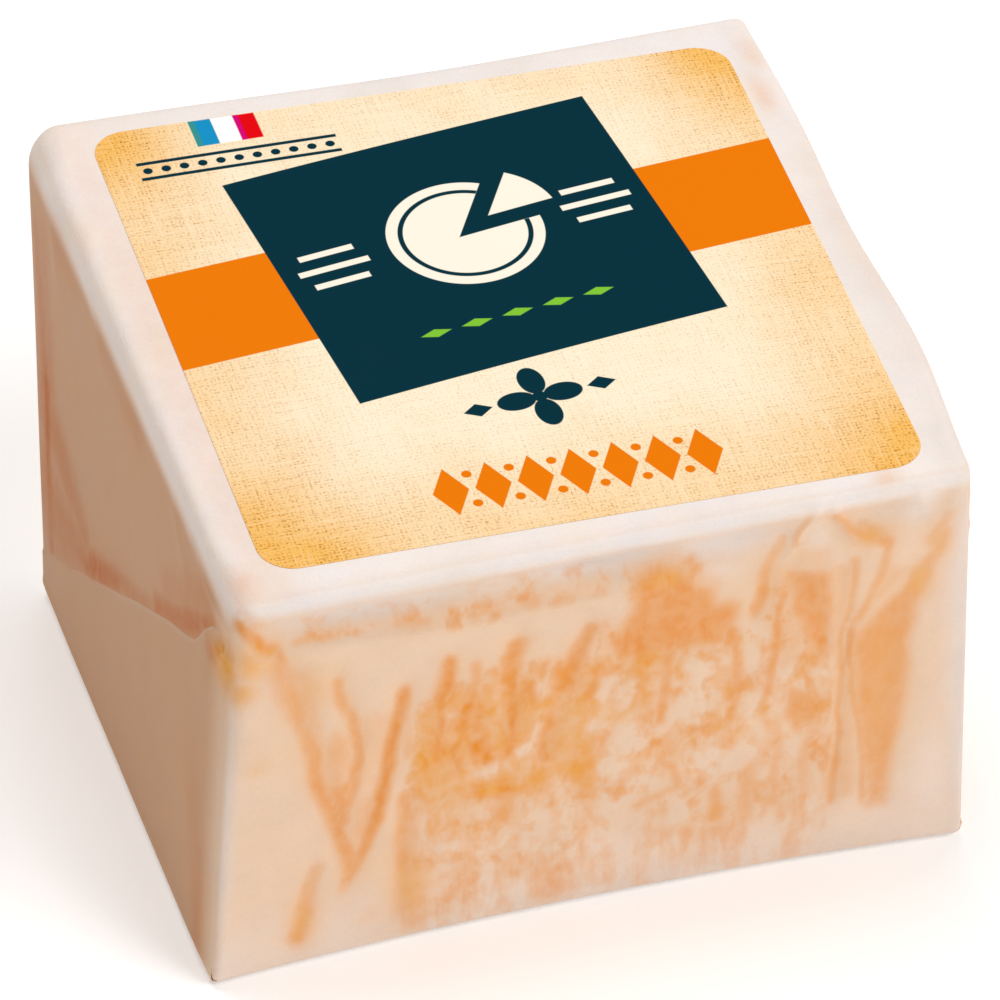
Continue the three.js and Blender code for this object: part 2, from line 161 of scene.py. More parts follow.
# Where the ripe rind shows through on the front: path, half widths and strengths at its two ends
FRONT_STREAKS = [
    ([(0.0, 34.7), (1.2, 34.1), (2.1, 33.3), (2.8, 32.5), (3.6, 32.2)], (0.5, 0.6), (0.9, 1.0)),
    ([(3.4, 32.2), (4.2, 31.7), (4.6, 31.0)], (0.35, 0.3), (0.8, 0.7)),
    ([(0.0, 36.2), (1.2, 35.2), (2.3, 34.4)], (0.8, 0.5), (0.4, 0.3)),
    ([(4.6, 31.0), (4.9, 30.0), (5.0, 28.6)], (0.35, 0.4), (0.6, 0.55)),
    ([(4.2, 30.4), (5.0, 27.8), (5.9, 25.4)], (1.1, 0.95), (0.56, 0.7)),
    ([(5.9, 25.4), (6.5, 23.8), (7.1, 21.8), (7.5, 20.2), (7.9, 18.4)], (0.6, 0.7), (0.66, 0.8)),
    ([(7.9, 18.4), (8.5, 16.4), (9.1, 14.6), (9.9, 12.6), (10.5, 10.9), (10.9, 9.4)],
     (0.7, 0.65), (0.84, 0.86)),
    ([(10.9, 9.4), (10.9, 8.0), (10.7, 6.7)], (0.6, 0.45), (0.78, 0.45)),
    ([(9.1, 27.8), (9.6, 26.0), (10.2, 24.2), (10.8, 22.0), (11.1, 19.8), (11.0, 17.4), (10.6, 15.2)],
     (0.45, 0.5), (0.66, 0.86)),
    ([(14.8, 25.6), (14.6, 24.2), (14.2, 22.4), (13.8, 20.6), (13.6, 18.6), (13.4, 16.4), (13.1, 14.2)],
     (0.6, 0.58), (1.0, 0.94)),
    ([(13.1, 14.2), (12.6, 12.2), (12.0, 10.5), (11.3, 8.9), (11.0, 7.8)], (0.58, 0.55), (0.94, 0.8)),
    ([(8.3, 9.4), (8.0, 8.0), (7.7, 6.4), (7.4, 4.6), (6.9, 2.7)], (0.55, 0.7), (0.44, 0.84)),
    ([(15.1, 24.0), (15.2, 19.0)], (0.4, 0.4), (0.3, 0.5)),
    ([(15.2, 15.0), (15.3, 11.0), (15.7, 7.4), (16.0, 3.4)], (0.6, 0.8), (0.7, 0.55)),
    ([(13.2, 3.6), (12.6, 3.0)], (0.5, 0.5), (0.2, 0.15)),
    ([(18.3, 27.7), (18.1, 26.2), (17.9, 24.4)], (0.6, 0.8), (0.88, 0.98)),
    ([(17.9, 24.2), (18.0, 21.4), (17.4, 17.8)], (0.55, 0.6), (0.84, 0.8)),
    ([(20.4, 26.8), (20.5, 25.0), (20.8, 22.6), (20.9, 20.4)], (0.45, 0.7), (0.6, 0.9)),
    ([(24.0, 27.9), (23.6, 26.6), (23.5, 24.8)], (0.7, 1.0), (0.8, 0.92)),
    ([(23.6, 24.8), (23.8, 22.4), (23.9, 20.0), (23.6, 17.4)], (0.7, 0.45), (0.92, 0.84)),
    ([(25.2, 23.6), (25.3, 22.0)], (0.4, 0.5), (0.84, 0.9)),
    ([(29.9, 28.0), (29.2, 26.6), (28.6, 25.0), (27.9, 23.2)], (0.6, 1.2), (0.76, 1.0)),
    ([(27.0, 20.6), (26.7, 18.2), (26.8, 16.0)], (0.5, 0.6), (0.7, 0.86)),
    ([(30.6, 24.2), (30.3, 21.8)], (0.5, 0.5), (0.8, 0.84)),
    ([(32.6, 24.0), (31.2, 23.6)], (0.4, 0.4), (0.78, 0.78)),
    ([(21.2, 18.8), (22.0, 17.2)], (0.9, 0.7), (1.0, 1.0)),
    ([(20.2, 22.8), (19.8, 21.2)], (0.7, 0.7), (1.0, 0.9)),
    ([(21.2, 13.9), (23.4, 13.6)], (0.8, 0.8), (0.9, 0.9)),
    ([(19.0, 19.4), (19.4, 16.8)], (0.5, 0.5), (0.84, 0.8)),
    ([(36.9, 25.4), (36.5, 22.8), (36.4, 20.4), (36.2, 17.6)], (0.7, 0.4), (0.72, 0.74)),
    ([(41.3, 27.6), (41.6, 26.0), (41.9, 24.4)], (0.8, 0.6), (0.8, 0.8)),
    ([(41.9, 24.4), (42.3, 22.0), (42.6, 19.4), (42.2, 17.0)], (0.45, 0.35), (0.78, 0.7)),
    ([(45.6, 33.0), (44.9, 31.9), (44.4, 30.2), (44.2, 28.4), (43.8, 26.8)], (0.3, 0.6), (0.45, 0.85)),
    ([(45.9, 27.8), (45.7, 25.4), (45.5, 23.0), (45.2, 20.2), (45.0, 18.4)], (0.35, 0.4), (0.7, 0.74)),
    ([(45.4, 15.4), (46.2, 13.4), (46.0, 10.0), (46.5, 7.0), (46.9, 5.0)], (0.35, 0.4), (0.5, 0.5)),
    ([(48.8, 13.6), (48.4, 10.0), (48.7, 7.0)], (0.6, 0.5), (0.5, 0.4)),
    ([(46.8, 32.6), (47.3, 33.9), (48.1, 34.8)], (0.2, 0.25), (0.55, 0.35)),
    ([(51.3, 23.4), (51.2, 17.0), (51.0, 9.0), (50.8, 6.0)], (0.22, 0.3), (0.68, 0.72)),
    ([(50.7, 29.6), (50.7, 21.0)], (0.5, 0.5), (0.4, 0.42)),
    ([(52.0, 30.2), (51.8, 27.0), (51.5, 24.0)], (0.3, 0.3), (0.55, 0.55)),
    ([(50.4, 34.5), (51.4, 33.2), (52.5, 32.4), (53.6, 31.8), (54.8, 31.2)], (0.2, 0.5), (0.6, 0.7)),
    ([(52.6, 33.2), (53.6, 32.5)], (0.4, 0.5), (0.5, 0.5)),
    ([(54.8, 31.2), (54.4, 29.4), (54.1, 27.6), (53.3, 25.6), (52.3, 23.8)], (0.35, 0.4), (0.6, 0.55)),
    ([(52.1, 23.0), (51.9, 20.6), (52.2, 17.0), (52.8, 13.5), (53.3, 9.5), (53.5, 5.4)], (0.22, 0.25),
     (0.74, 0.6)),
    ([(60.0, 32.7), (59.0, 31.4), (58.4, 30.4)], (0.35, 0.4), (0.35, 0.35)),
    ([(59.7, 31.2), (59.1, 29.8), (58.3, 28.6), (57.3, 27.0)], (0.45, 0.8), (0.4, 0.66)),
    ([(43.6, 10.2), (43.8, 5.6)], (0.7, 0.8), (0.6, 0.5)),
    ([(41.0, 9.4), (41.3, 6.4)], (0.4, 0.6), (0.55, 0.7)),
    ([(36.4, 13.6), (37.6, 12.4), (38.0, 10.8)], (0.35, 0.4), (0.55, 0.65)),
    ([(34.8, 9.0), (36.4, 9.8), (38.4, 10.2)], (0.35, 0.35), (0.5, 0.55)),
    ([(38.8, 15.7), (40.4, 16.0)], (0.3, 0.4), (0.6, 0.78)),
    ([(35.6, 15.4), (37.2, 14.8), (38.6, 15.4)], (0.3, 0.3), (0.5, 0.5)),
    ([(14.0, 32.5), (16.2, 32.2)], (0.45, 0.4), (0.5, 0.5)),
    ([(24.2, 32.4), (25.4, 31.9)], (0.55, 0.45), (0.5, 0.5)),
    ([(27.0, 31.9), (28.2, 31.8)], (0.4, 0.4), (0.52, 0.4)),
    ([(5.6, 32.6), (7.4, 32.8)], (0.35, 0.4), (0.5, 0.46)),
]
# Broader places, as outline, strength and softness
FRONT_PATCHES = [
    ([(33.4, 32.0), (33.8, 32.9), (35.4, 33.3), (37.6, 32.6), (38.4, 31.6), (39.1, 30.3), (40.2, 29.8),
      (40.6, 28.4), (42.4, 27.8), (42.4, 25.4), (41.0, 24.0), (32.4, 24.2), (31.4, 26.4), (32.4, 28.0),
      (33.2, 29.2), (33.3, 30.4)], 0.86, 1.1),
    ([(30.2, 27.8), (33.0, 28.4), (33.0, 24.4), (30.4, 24.4)], 0.36, 1.0),
    ([(33.4, 33.8), (37.0, 34.2), (40.2, 31.4), (40.6, 30.2), (33.0, 30.6)], 0.36, 0.9),
    ([(46.0, 30.2), (50.2, 29.5), (50.4, 25.0), (50.3, 20.8), (49.3, 20.8), (47.9, 23.0), (47.1, 25.2),
      (46.5, 27.4)], 0.8, 0.9),
    ([(44.4, 31.0), (46.6, 30.6), (47.6, 26.0), (48.6, 21.0), (46.0, 20.0), (44.6, 25.0)], 0.34, 0.9),
    ([(46.8, 18.6), (48.0, 18.0), (49.7, 16.8), (49.5, 14.2), (47.5, 14.2), (46.5, 15.6)], 0.76, 0.6),
    ([(56.9, 28.2), (58.3, 27.9), (57.8, 26.2), (57.3, 24.4), (57.1, 22.0), (56.8, 19.0), (56.4, 15.0),
      (56.0, 10.0), (55.7, 8.0), (53.4, 8.0), (52.8, 13.5), (52.3, 17.0), (52.0, 20.6), (52.2, 22.6),
      (53.4, 24.0), (54.8, 25.2), (56.2, 26.6)], 0.72, 0.8),
    ([(53.4, 10.0), (53.7, 4.6), (55.5, 4.4), (55.9, 10.0)], 0.68, 0.9),
    ([(54.2, 29.6), (56.8, 28.0), (54.4, 25.4), (53.4, 25.6)], 0.34, 0.8),
    ([(46.4, 32.6), (50.0, 31.8), (50.4, 29.6), (46.4, 30.0)], 0.24, 0.8),
    ([(9.0, 23.0), (10.6, 22.0), (11.1, 19.0), (11.1, 15.6), (10.6, 12.6), (9.6, 13.6), (8.4, 17.4),
      (8.0, 21.0)], 0.5, 1.0),
    ([(8.4, 17.6), (11.0, 18.0), (11.0, 13.4), (9.8, 12.6)], 0.78, 0.7),
    ([(11.0, 16.0), (13.6, 16.0), (13.2, 13.0), (12.0, 10.0), (11.2, 9.4), (10.8, 13.0)], 0.5, 0.9),
    ([(10.8, 24.0), (14.0, 24.0), (13.6, 15.0), (11.0, 15.0)], 0.3, 1.0),
    ([(3.8, 30.4), (6.4, 29.6), (8.4, 22.0), (9.6, 17.0), (8.0, 17.0), (5.0, 26.0)], 0.42, 0.9),
    ([(14.6, 14.0), (16.6, 14.0), (17.0, 3.4), (15.0, 3.0)], 0.5, 0.8),
    ([(50.3, 30.0), (52.3, 30.0), (52.0, 20.0), (52.8, 6.0), (49.8, 6.0), (50.4, 20.0)], 0.36, 0.6),
    ([(5.0, 31.9), (10.0, 31.8), (14.0, 31.4), (17.0, 31.0), (20.0, 31.1), (25.0, 31.3), (31.0, 31.4),
      (31.4, 33.2), (22.0, 33.3), (12.0, 33.5), (5.6, 33.4)], 0.2, 0.8),
]
# Broader places that are mottled as the field is
FRONT_MOTTLED = [
    ([(5.0, 31.9), (10.0, 31.8), (14.0, 31.4), (17.0, 31.0), (20.0, 31.1), (25.0, 31.3), (31.0, 31.4),
      (31.4, 33.0), (22.0, 33.2), (12.0, 33.4), (5.6, 33.4)], 0.5, 0.8),
    ([(6.0, 33.0), (31.0, 33.0), (31.0, 34.6), (6.0, 34.6)], 0.3, 0.5),
    ([(32.6, 33.6), (38.0, 33.8), (40.4, 31.6), (40.6, 30.0), (33.0, 30.4)], 0.6, 0.7),
    ([(44.0, 29.0), (46.4, 30.4), (48.0, 24.0), (45.0, 22.0), (42.6, 25.0)], 0.5, 0.9),
    ([(30.0, 28.4), (33.0, 29.0), (33.0, 24.0), (29.6, 24.0)], 0.5, 0.9),
    ([(52.4, 33.4), (54.6, 32.4), (55.2, 30.0), (53.0, 30.4)], 0.5, 0.5),
]
# Pale places inside the mottled field, as centre and reach
FRONT_PALE = [
    ((33.0, 16.4), (2.0, 1.9)), ((32.2, 14.0), (1.1, 1.6)), ((34.4, 8.8), (2.2, 1.1)),
    ((38.3, 18.2), (1.5, 2.6)), ((39.0, 21.8), (0.8, 1.8)), ((43.7, 21.8), (0.9, 2.2)),
    ((40.0, 13.4), (1.1, 1.3)), ((42.8, 12.2), (1.5, 1.5)), ((44.4, 14.2), (0.9, 1.6)),
    ((47.5, 11.6), (1.1, 1.7)), ((28.4, 11.8), (0.9, 1.4)), ((26.6, 8.8), (0.6, 1.3)),
    ((37.6, 7.0), (1.6, 0.9)), ((22.2, 16.1), (1.1, 0.6)), ((18.4, 21.8), (0.6, 0.6)),
    ((26.0, 18.6), (0.7, 1.8)), ((31.6, 9.6), (1.0, 1.2)), ((49.2, 19.4), (0.9, 0.9)),
    ((25.0, 17.4), (0.7, 0.7)), ((47.2, 22.8), (0.9, 1.0)), ((43.4, 17.6), (0.8, 1.2)),
    ((31.4, 18.2), (1.0, 0.8)), ((34.4, 5.6), (1.6, 0.9)), ((40.4, 8.2), (0.6, 1.2)),
    ((31.2, 22.0), (0.8, 1.0)), ((33.0, 21.6), (0.9, 0.8)), ((26.4, 23.6), (0.6, 1.4)),
    ((46.6, 20.6), (0.8, 0.8)),
]
# More golden places, as centre, reach and strength
FRONT_GOLD = [
    ((1.5, 30.9), (2.3, 2.0), 1.3), ((0.8, 28.6), (1.9, 1.4), 1.25), ((2.6, 31.4), (1.5, 0.9), 0.5),
    ((22.3, 13.9), (1.2, 0.9), 1.0), ((17.2, 18.2), (1.6, 1.6), 0.6), ((36.2, 31.8), (2.4, 1.0), 0.7),
    ((34.8, 23.6), (1.6, 1.6), 0.6), ((32.4, 18.6), (1.6, 0.9), 0.5), ((57.4, 26.8), (1.1, 1.8), 0.9),
    ((53.4, 32.2), (1.5, 0.8), 0.8), ((41.2, 7.0), (0.9, 1.0), 0.6), ((28.8, 14.5), (2.3, 0.8), 0.6),
    ((2.9, 20.8), (1.1, 0.9), 0.3), ((25.2, 21.4), (0.8, 1.6), 0.7), ((54.8, 18.0), (2.2, 8.0), 0.5),
    ((16.2, 5.4), (2.0, 3.4), 0.8), ((7.3, 4.2), (1.2, 2.2), 0.8), ((59.0, 30.4), (1.0, 1.6), 0.6),
    ((3.6, 32.0), (0.9, 0.5), 0.8), ((7.0, 27.5), (1.6, 2.0), 0.5),
]
# The mottled field: where it begins and ends, and how high it reaches at places across the front
FRONT_FIELD = ((14.6, 16.0), (50.2, 51.4))
FRONT_FIELD_TOP = (
    [15, 18, 21, 24, 27, 30, 34, 38, 42, 46, 50],
    [23.5, 25, 26, 26.4, 25.6, 26, 26, 26, 26, 25, 23],
)
# How dense the field is, by height and by place across
FIELD_BY_HEIGHT = ([0, 1.5, 4, 9, 12, 14, 24], [0.14, 0.4, 0.49, 0.57, 0.76, 1, 1])
FIELD_ACROSS = ([15, 18, 31, 33, 51], [0.9, 1, 1, 0.8, 0.76])
# The front's rind in whole, and the seed by which its outlines wander
FRONT_RIND = (
    FRONT_STREAKS, FRONT_PATCHES, FRONT_MOTTLED, FRONT_PALE, FRONT_GOLD, FRONT_FIELD, FRONT_FIELD_TOP, 10,
)
# Where the paper stands off the rind and is paler, and painted highlight on the rounded corners and edges, as
# centre, reach and strength
FRONT_LOOSE_AND_HIGHLIT = [
    ((0.8, 30.4), (2.2, 2.8), 0.9), ((57.8, 35.4), (1.5, 1.7), 0.9), ((30.0, 34.4), (5.0, 0.9), 0.8),
    ((14.0, 34.4), (9.0, 0.9), 0.5), ((41.0, 34.2), (5.0, 1.2), 0.6), ((48.9, 33.0), (1.2, 1.4), 0.3),
    ((59.2, 6.0), (2.6, 6.0), 0.4), ((61.6, 18.0), (1.4, 18.0), 0.8), ((0.0, 14.0), (1.1, 14.0), 0.6),
    ((40.0, 31.6), (2.0, 0.8), 0.3), ((57.4, 33.6), (1.4, 0.9), 0.5), ((1.0, 2.0), (2.0, 3.0), 0.4),
]
# Painted shade: in the hollow under the top edge, by folds, down the right edge and along the foot, as
# centre, reach and strength
FRONT_PAINTED_SHADE = [
    ((31.0, 34.2), (6.0, 0.9), 0.85), ((13.0, 33.9), (9.0, 1.1), 0.6), ((43.0, 34.2), (5.0, 0.9), 0.5),
    ((8.2, 33.4), (1.0, 1.0), 0.4), ((55.0, 34.2), (2.4, 0.8), 0.45), ((61.6, 18.0), (1.2, 18.0), 0.75),
    ((32.2, 32.8), (0.8, 0.8), 0.5), ((10.0, 32.0), (6.0, 0.5), 0.3), ((47.9, 34.3), (0.6, 0.6), 0.4),
    ((57.5, 33.0), (0.6, 0.8), 0.25), ((40.0, 33.6), (2.5, 0.6), 0.3), ((31.0, 1.0), (26.0, 1.4), 0.25),
]
# The golden corner at the front left of the top, by its shares, and its reach
GOLDEN_CORNER, GOLDEN_CORNER_REACH = (0.0, 0.02, 0.815), [2.0, 2.8, 2.2]

# The back, in the same way
BACK_STREAKS = [
    ([(2, 34), (4.4, 27), (7, 20), (9, 6)], (0.7, 1.0), (0.7, 0.5)),
    ([(16, 29), (17, 22), (18, 14)], (0.6, 0.9), (0.75, 0.6)),
    ([(22.5, 30), (22, 22)], (0.5, 0.8), (0.6, 0.7)),
    ([(30, 28), (29.4, 18), (28, 8)], (0.7, 0.6), (0.75, 0.5)),
    ([(36.5, 31), (38, 23)], (0.6, 0.8), (0.7, 0.6)),
    ([(43, 30), (46, 16), (45, 5)], (0.7, 0.9), (0.7, 0.5)),
    ([(59, 33), (55, 20), (55, 6)], (0.8, 1.2), (0.7, 0.5)),
]
BACK_PATCHES = [([(9.5, 26), (14.6, 27.5), (15, 20), (12.5, 12), (10, 17)], 0.6, 0.8)]
BACK_MOTTLED = [([(8.0, 32.0), (30.0, 31.4), (52.0, 32.2), (52.0, 33.4), (8.0, 33.4)], 0.6, 0.6)]
BACK_PALE = [((24.5, 15), (2.0, 2.8)), ((34, 12), (1.8, 3.0)), ((41, 19), (1.2, 2.4)), ((50, 12), (1.6, 2.0))]
BACK_GOLD = [((12, 22), (2, 2), 0.6), ((33, 22), (3, 1.6), 0.5), ((55, 26), (1.4, 2), 0.5)]
BACK_FIELD = ((10.5, 13.0), (52.0, 54.5))
BACK_FIELD_TOP = ([10, 20, 30, 40, 54], [22, 25, 24, 26, 23])
BACK_RIND = (
    BACK_STREAKS, BACK_PATCHES, BACK_MOTTLED, BACK_PALE, BACK_GOLD, BACK_FIELD, BACK_FIELD_TOP, 40,
)

# The stain above the laps' edges, as path, half widths and strengths at its ends, from the end's back edge
END_STREAKS = [
    ([(14.6, 11.2), (18.0, 12.2), (20.4, 13.3)], (0.5, 0.9), (0.45, 0.85)),
    ([(20.4, 13.3), (23.0, 14.5), (25.4, 15.7), (28.4, 17.0)], (0.8, 0.7), (0.85, 0.75)),
    ([(28.4, 17.2), (31.0, 18.2), (34.4, 19.6), (38.0, 21.4), (41.0, 23.0)], (0.6, 0.5), (0.5, 0.3)),
    ([(41.0, 23.4), (43.6, 25.0), (46.6, 26.6), (49.6, 28.6)], (0.8, 0.9), (0.6, 0.66)),
    ([(49.6, 28.6), (52.0, 30.2), (53.6, 31.4), (55.6, 33.2), (57.0, 34.4)], (1.0, 0.6), (0.7, 0.6)),
    ([(44.0, 27.6), (50.0, 31.4), (55.0, 35.0)], (1.6, 1.6), (0.2, 0.34)),
    ([(4.4, 33.0), (4.6, 25.0), (5.1, 20.0)], (0.9, 1.1), (0.3, 0.7)),
    ([(5.1, 20.0), (5.1, 17.4), (4.8, 12.0), (4.6, 6.0)], (1.2, 0.9), (0.95, 0.6)),
    ([(5.0, 10.0), (11.0, 11.0), (17.0, 12.6)], (4.4, 1.6), (0.5, 0.45)),
    ([(5.4, 18.0), (11.0, 16.6), (18.0, 14.4)], (3.2, 1.4), (0.55, 0.42)),
    ([(6.4, 21.0), (6.0, 28.0), (6.4, 33.0)], (1.8, 1.6), (0.4, 0.2)),
    ([(12.0, 36.4), (16.0, 36.6)], (1.8, 1.6), (0.2, 0.12)),
    ([(24.0, 36.0), (31.0, 35.6), (35.0, 35.8)], (1.4, 1.4), (0.12, 0.2)),
]
# the left end lies in shade, so its rind is painted stronger there: partly painted shade
LEFT_END_STAIN_AND_SHADE = 1.4  # how much more the rind shows at the left end than at the right
# Tints on the laps themselves
LAP_TINTS = [
    ([(56.4, 10.0), (57.0, 2.0)], (2.0, 1.6), (0.2, 0.3)),
    ([(54.0, 18.0), (55.4, 8.0)], (2.4, 2.0), (0.1, 0.18)),
    ([(56.6, 31.4), (58.4, 32.4), (60.4, 33.8)], (0.8, 0.9), (0.5, 0.9)),
]
# Faint tints on the top, from its front left, as centre, reach and strength; the two by the crease at the
# back right are painted shade
TOP_TINTS = [
    ((1.2, 2.2), (2.4, 2.6), 0.45), ((0.8, 46.0), (1.4, 4.0), 0.22), ((3.4, 28.0), (2.6, 44.0), 0.25),
    ((59.6, 50.6), (1.0, 2.6), 0.4), ((60.6, 56.0), (1.0, 2.4), 0.3), ((3.0, 57.0), (3.0, 3.0), 0.12),
    ((30.0, 0.8), (14.0, 1.0), 0.08), ((54.6, 0.7), (1.2, 0.9), 0.4), ((61.0, 30.0), (1.0, 12.0), 0.1),
]


def between(low, high, share):
    return low + (high - low) * share


def swell(share):
    return 4 * share * (1 - share)


def hump(x, middle, reach):
    return np.exp(-(((x - middle) / reach) ** 2))


def spot(x, z, centre, reach, strength=1.0):
    """A round soft spot of a mask."""
    return strength * np.exp(-(((x - centre[0]) / reach[0]) ** 2) - ((z - centre[1]) / reach[1]) ** 2)


def smoothstep(low, high, x):
    t = np.clip((x - low) / (high - low), 0, 1)
    return t * t * (3 - 2 * t)


def from_corners(table, u, v, w):
    """A value between those of the eight corners, at shares u across, v deep and w high."""
    u, v, w = (np.asarray(t)[..., None] for t in (u, v, w))
    base, top = (between(between(r[0], r[1], u), between(r[2], r[3], u), v) for r in table)
    return between(base, top, w)


def along_path(x, z, path):
    """Distance to a path, and the share of its length at the nearest point."""
    path = np.asarray(path, float)
    lengths = np.hypot(*(path[1:] - path[:-1]).T)
    ends = np.concatenate([[0], np.cumsum(lengths)]) / lengths.sum()
    nearest, share = np.full(np.shape(x), np.inf), np.zeros(np.shape(x))
    for i, (dx, dz) in enumerate(path[1:] - path[:-1]):
        x0, z0 = path[i]
        t = np.clip(((x - x0) * dx + (z - z0) * dz) / (dx * dx + dz * dz), 0, 1)
        distance = np.hypot(x - x0 - t * dx, z - z0 - t * dz)
        closer = distance < nearest
        nearest = np.where(closer, distance, nearest)
        share = np.where(closer, between(ends[i], ends[i + 1], t), share)
    return nearest, share


def pleats(table, x, z, deep):
    """How far pleats draw the paper in at a place of a long face."""
    return -deep * np.max([hump(along_path(x, z, path)[0], 0, half) for path, half in table], axis=0)


def creases(table, x, z):
    """Height of the sharp folds at a place of a face, low towards their ends."""
    height = np.zeros(np.shape(x))
    for path, high, half in table:
        distance, share = along_path(x, z, path)
        crest = 0.35 + 0.65 * np.sin(np.pi * np.clip(share, 0.12, 0.88))
        height += high * np.exp(-distance / half) * crest
    return height


def front_relief(u, w, deep):
    """The hollow under the front's top edge, the ridge below its left half, and the pleats."""
    dip = SHOULDER_HOLLOW + SHOULDER_DIP * hump(u, 0.49, 0.07)
    hollow = -dip * hump(w, 0.92, 0.033) * smoothstep(0.02, 0.12, u)
    ridge = SHOULDER_RIDGE * hump(w, 0.84, 0.02) * (1 - smoothstep(0.5, 0.6, u))
    return hollow + ridge + pleats(FRONT_PLEATS, u * WIDTH, w * FRONT_HEIGHT, deep)


def bend(u, v, w):
    """How far the block is bent from its straight form."""
    drawn_in = swell(u) * (1 - w) ** 2
    right = sum(out * hump(v, at, 0.2) for out, at in RIGHT_SWELLS)
    return np.stack([
        right * smoothstep(0.5, 1, u) * between(0.4, 1, w),
        drawn_in * between(FRONT_BASE_BOW, -BACK_BASE_BOW, v),
        -BACK_EDGE_SAG * hump(u, 0.55, 0.3) * smoothstep(0.9, 1, v) * w,
    ], -1)


def facing(u, v, w):
    """The rounded block's outward direction, inner point, radius and half size, at the unit cube's skin."""
    half = np.array([WIDTH, DEPTH, HEIGHT]) / 2
    off_corners = smoothstep(0.02, 0.16, v) * (1 - smoothstep(0.82, 0.97, v))
    left_edge = off_corners * (1 - smoothstep(0.05, 0.25, u)) * smoothstep(0.7, 0.85, w)
    radius = from_corners(RADII, u, v, w) - LEFT_EDGE_TIGHTER * left_edge[..., None]
    sharp = (2 * np.stack([u, v, w], -1) - 1) * half
    inner = np.clip(sharp, radius - half, half - radius)
    out = sharp - inner
    return out / np.linalg.norm(out, axis=-1, keepdims=True), inner, radius, half


def skin(u, v, w, lift=0.0, deep=PLEAT_DEPTH, fine=False):
    """Points of the paper's skin in millimetres, at shares of the block, lifted outwards."""
    u, v, w = (np.asarray(t, float) for t in np.broadcast_arrays(u, v, w))
    out, inner, radius, half = facing(u, v, w)
    shares = ((inner + out * radius) / half + 1) / 2
    x, z, height = u * WIDTH, w * FRONT_HEIGHT, w * HEIGHT
    left = -LEFT_HOLLOW * hump(v, 0.62, 0.3) * hump(w, 0.62, 0.22)
    right = np.zeros(u.shape)
    front, back = front_relief(u, w, deep), pleats(BACK_PLEATS, x, z, deep)
    top = TOP_CROWN * swell(u) * swell(v)
    if fine:
        front = front + creases(FRONT_CREASES, x, z) - RIDGE_EASED * spot(x, z, (2.5, 31.1), (12.0, 1.6))
        left = left + creases(LEFT_CREASES, (1 - v) * DEPTH, height) - LAP_ROOM
        left = left - LAP_ROOM_AT_BACK * smoothstep(0.8, 1.0, v)
        right = right + creases(RIGHT_CREASES, v * DEPTH, height) - LAP_ROOM
        back = back - BACK_ROOM
        top = top + creases(TOP_CREASES, x, v * DEPTH)
    reliefs = np.stack([
        np.where(out[..., 0] < 0, left, right),
        np.where(out[..., 1] < 0, front, back),
        np.where(out[..., 2] < 0, 0.0, top),
    ], -1)
    lifted = out * np.abs(out) * (reliefs + np.asarray(lift, float)[..., None])
    ru, rv, rw = np.moveaxis(shares, -1, 0)
    return from_corners(CORNERS, ru, rv, rw) + bend(ru, rv, rw) + lifted + CENTRING


def value_noise(points, cell, seed):
    """Smooth random values from 0 to 1, with about one bump in each cell of that size."""
    lattice = np.random.default_rng(seed).random((32, 32, 32))
    place = points / np.asarray(cell, float)
    low = np.floor(place).astype(int)
    t = place - low
    t = t * t * (3 - 2 * t)
    total = np.zeros(len(points))
    for corner in np.ndindex(2, 2, 2):
        weight = np.prod(np.where(corner, t, 1 - t), axis=1)
        i, j, k = ((low + corner) % 32).T
        total += weight * lattice[i, j, k]
    return total


# Where the rind shows through


def streak(x, z, path, half, strength, soft):
    """How a clinging fold shows, fading out over a fainter and wider tint."""
    distance, share = along_path(x, z, path)
    width = between(half[0], half[1], share) + 0.6 * soft
    close = np.exp(-((distance / width) ** 2.4))
    wide = 0.25 * np.exp(-((distance / (width + 0.8)) ** 2))
    return between(strength[0], strength[1], share) * np.maximum(close, wide)


def patch(x, z, outline, strength, soft):
    """A broad place with a soft edge."""
    distance, _ = along_path(x, z, [*outline, outline[0]])
    inside = np.zeros(x.shape, bool)
    for (x0, z0), (x1, z1) in zip(outline, [*outline[1:], outline[0]]):
        if z0 != z1:
            inside ^= ((z0 > z) != (z1 > z)) & (x < (x1 - x0) * (z - z0) / (z1 - z0) + x0)
    return strength * (1 - smoothstep(-soft, soft, np.where(inside, -distance, distance)))


def strongest(mark, x, z, table, *more):
    """The strongest of the streaks, patches or spots of a table, at each place."""
    return np.max([mark(x, z, *row, *more) for row in table], axis=0)


def wandered(x, z, points, far, seed):
    """Places moved about a little, so that no outline runs smooth."""
    def drift(cell, salt):
        return value_noise(points, cell, seed + salt) - 0.5
    return (x + far * drift(2.6, 1) + 0.4 * far * drift(0.9, 2),
            z + far * drift(3.0, 3) + 0.4 * far * drift(0.9, 4))


def long_face(x, z, points, streaks, patches, mottled, pale, gold, field, field_top, seed):
    """Cling, mottle and gold over the front or back, at places in millimetres."""
    wx, wz = wandered(x, z, points, 0.5, seed)
    cling = np.maximum(strongest(streak, wx, wz, streaks, 0.35), strongest(patch, wx, wz, patches))
    (start, full), (last, end) = field
    zone = smoothstep(start, full, wx) * (1 - smoothstep(last, end, wx))
    zone *= 1 - smoothstep(-1.8, 1.4, wz - np.interp(x, *field_top))
    dense = np.interp(z, *FIELD_BY_HEIGHT)
    dense *= np.interp(x, *FIELD_ACROSS)
    bare = strongest(spot, wx, wz, pale)
    mottle = np.maximum(zone * dense * (1 - 0.85 * bare), strongest(patch, wx, wz, mottled))
    return cling, mottle, strongest(spot, wx, wz, gold)


def end_face(t, z, points, table, seed):
    """Cling over an end, at places in millimetres from its back edge."""
    wt, wz = wandered(t, z, points, 0.6, seed)
    return strongest(streak, wt, wz, table, 0.7)


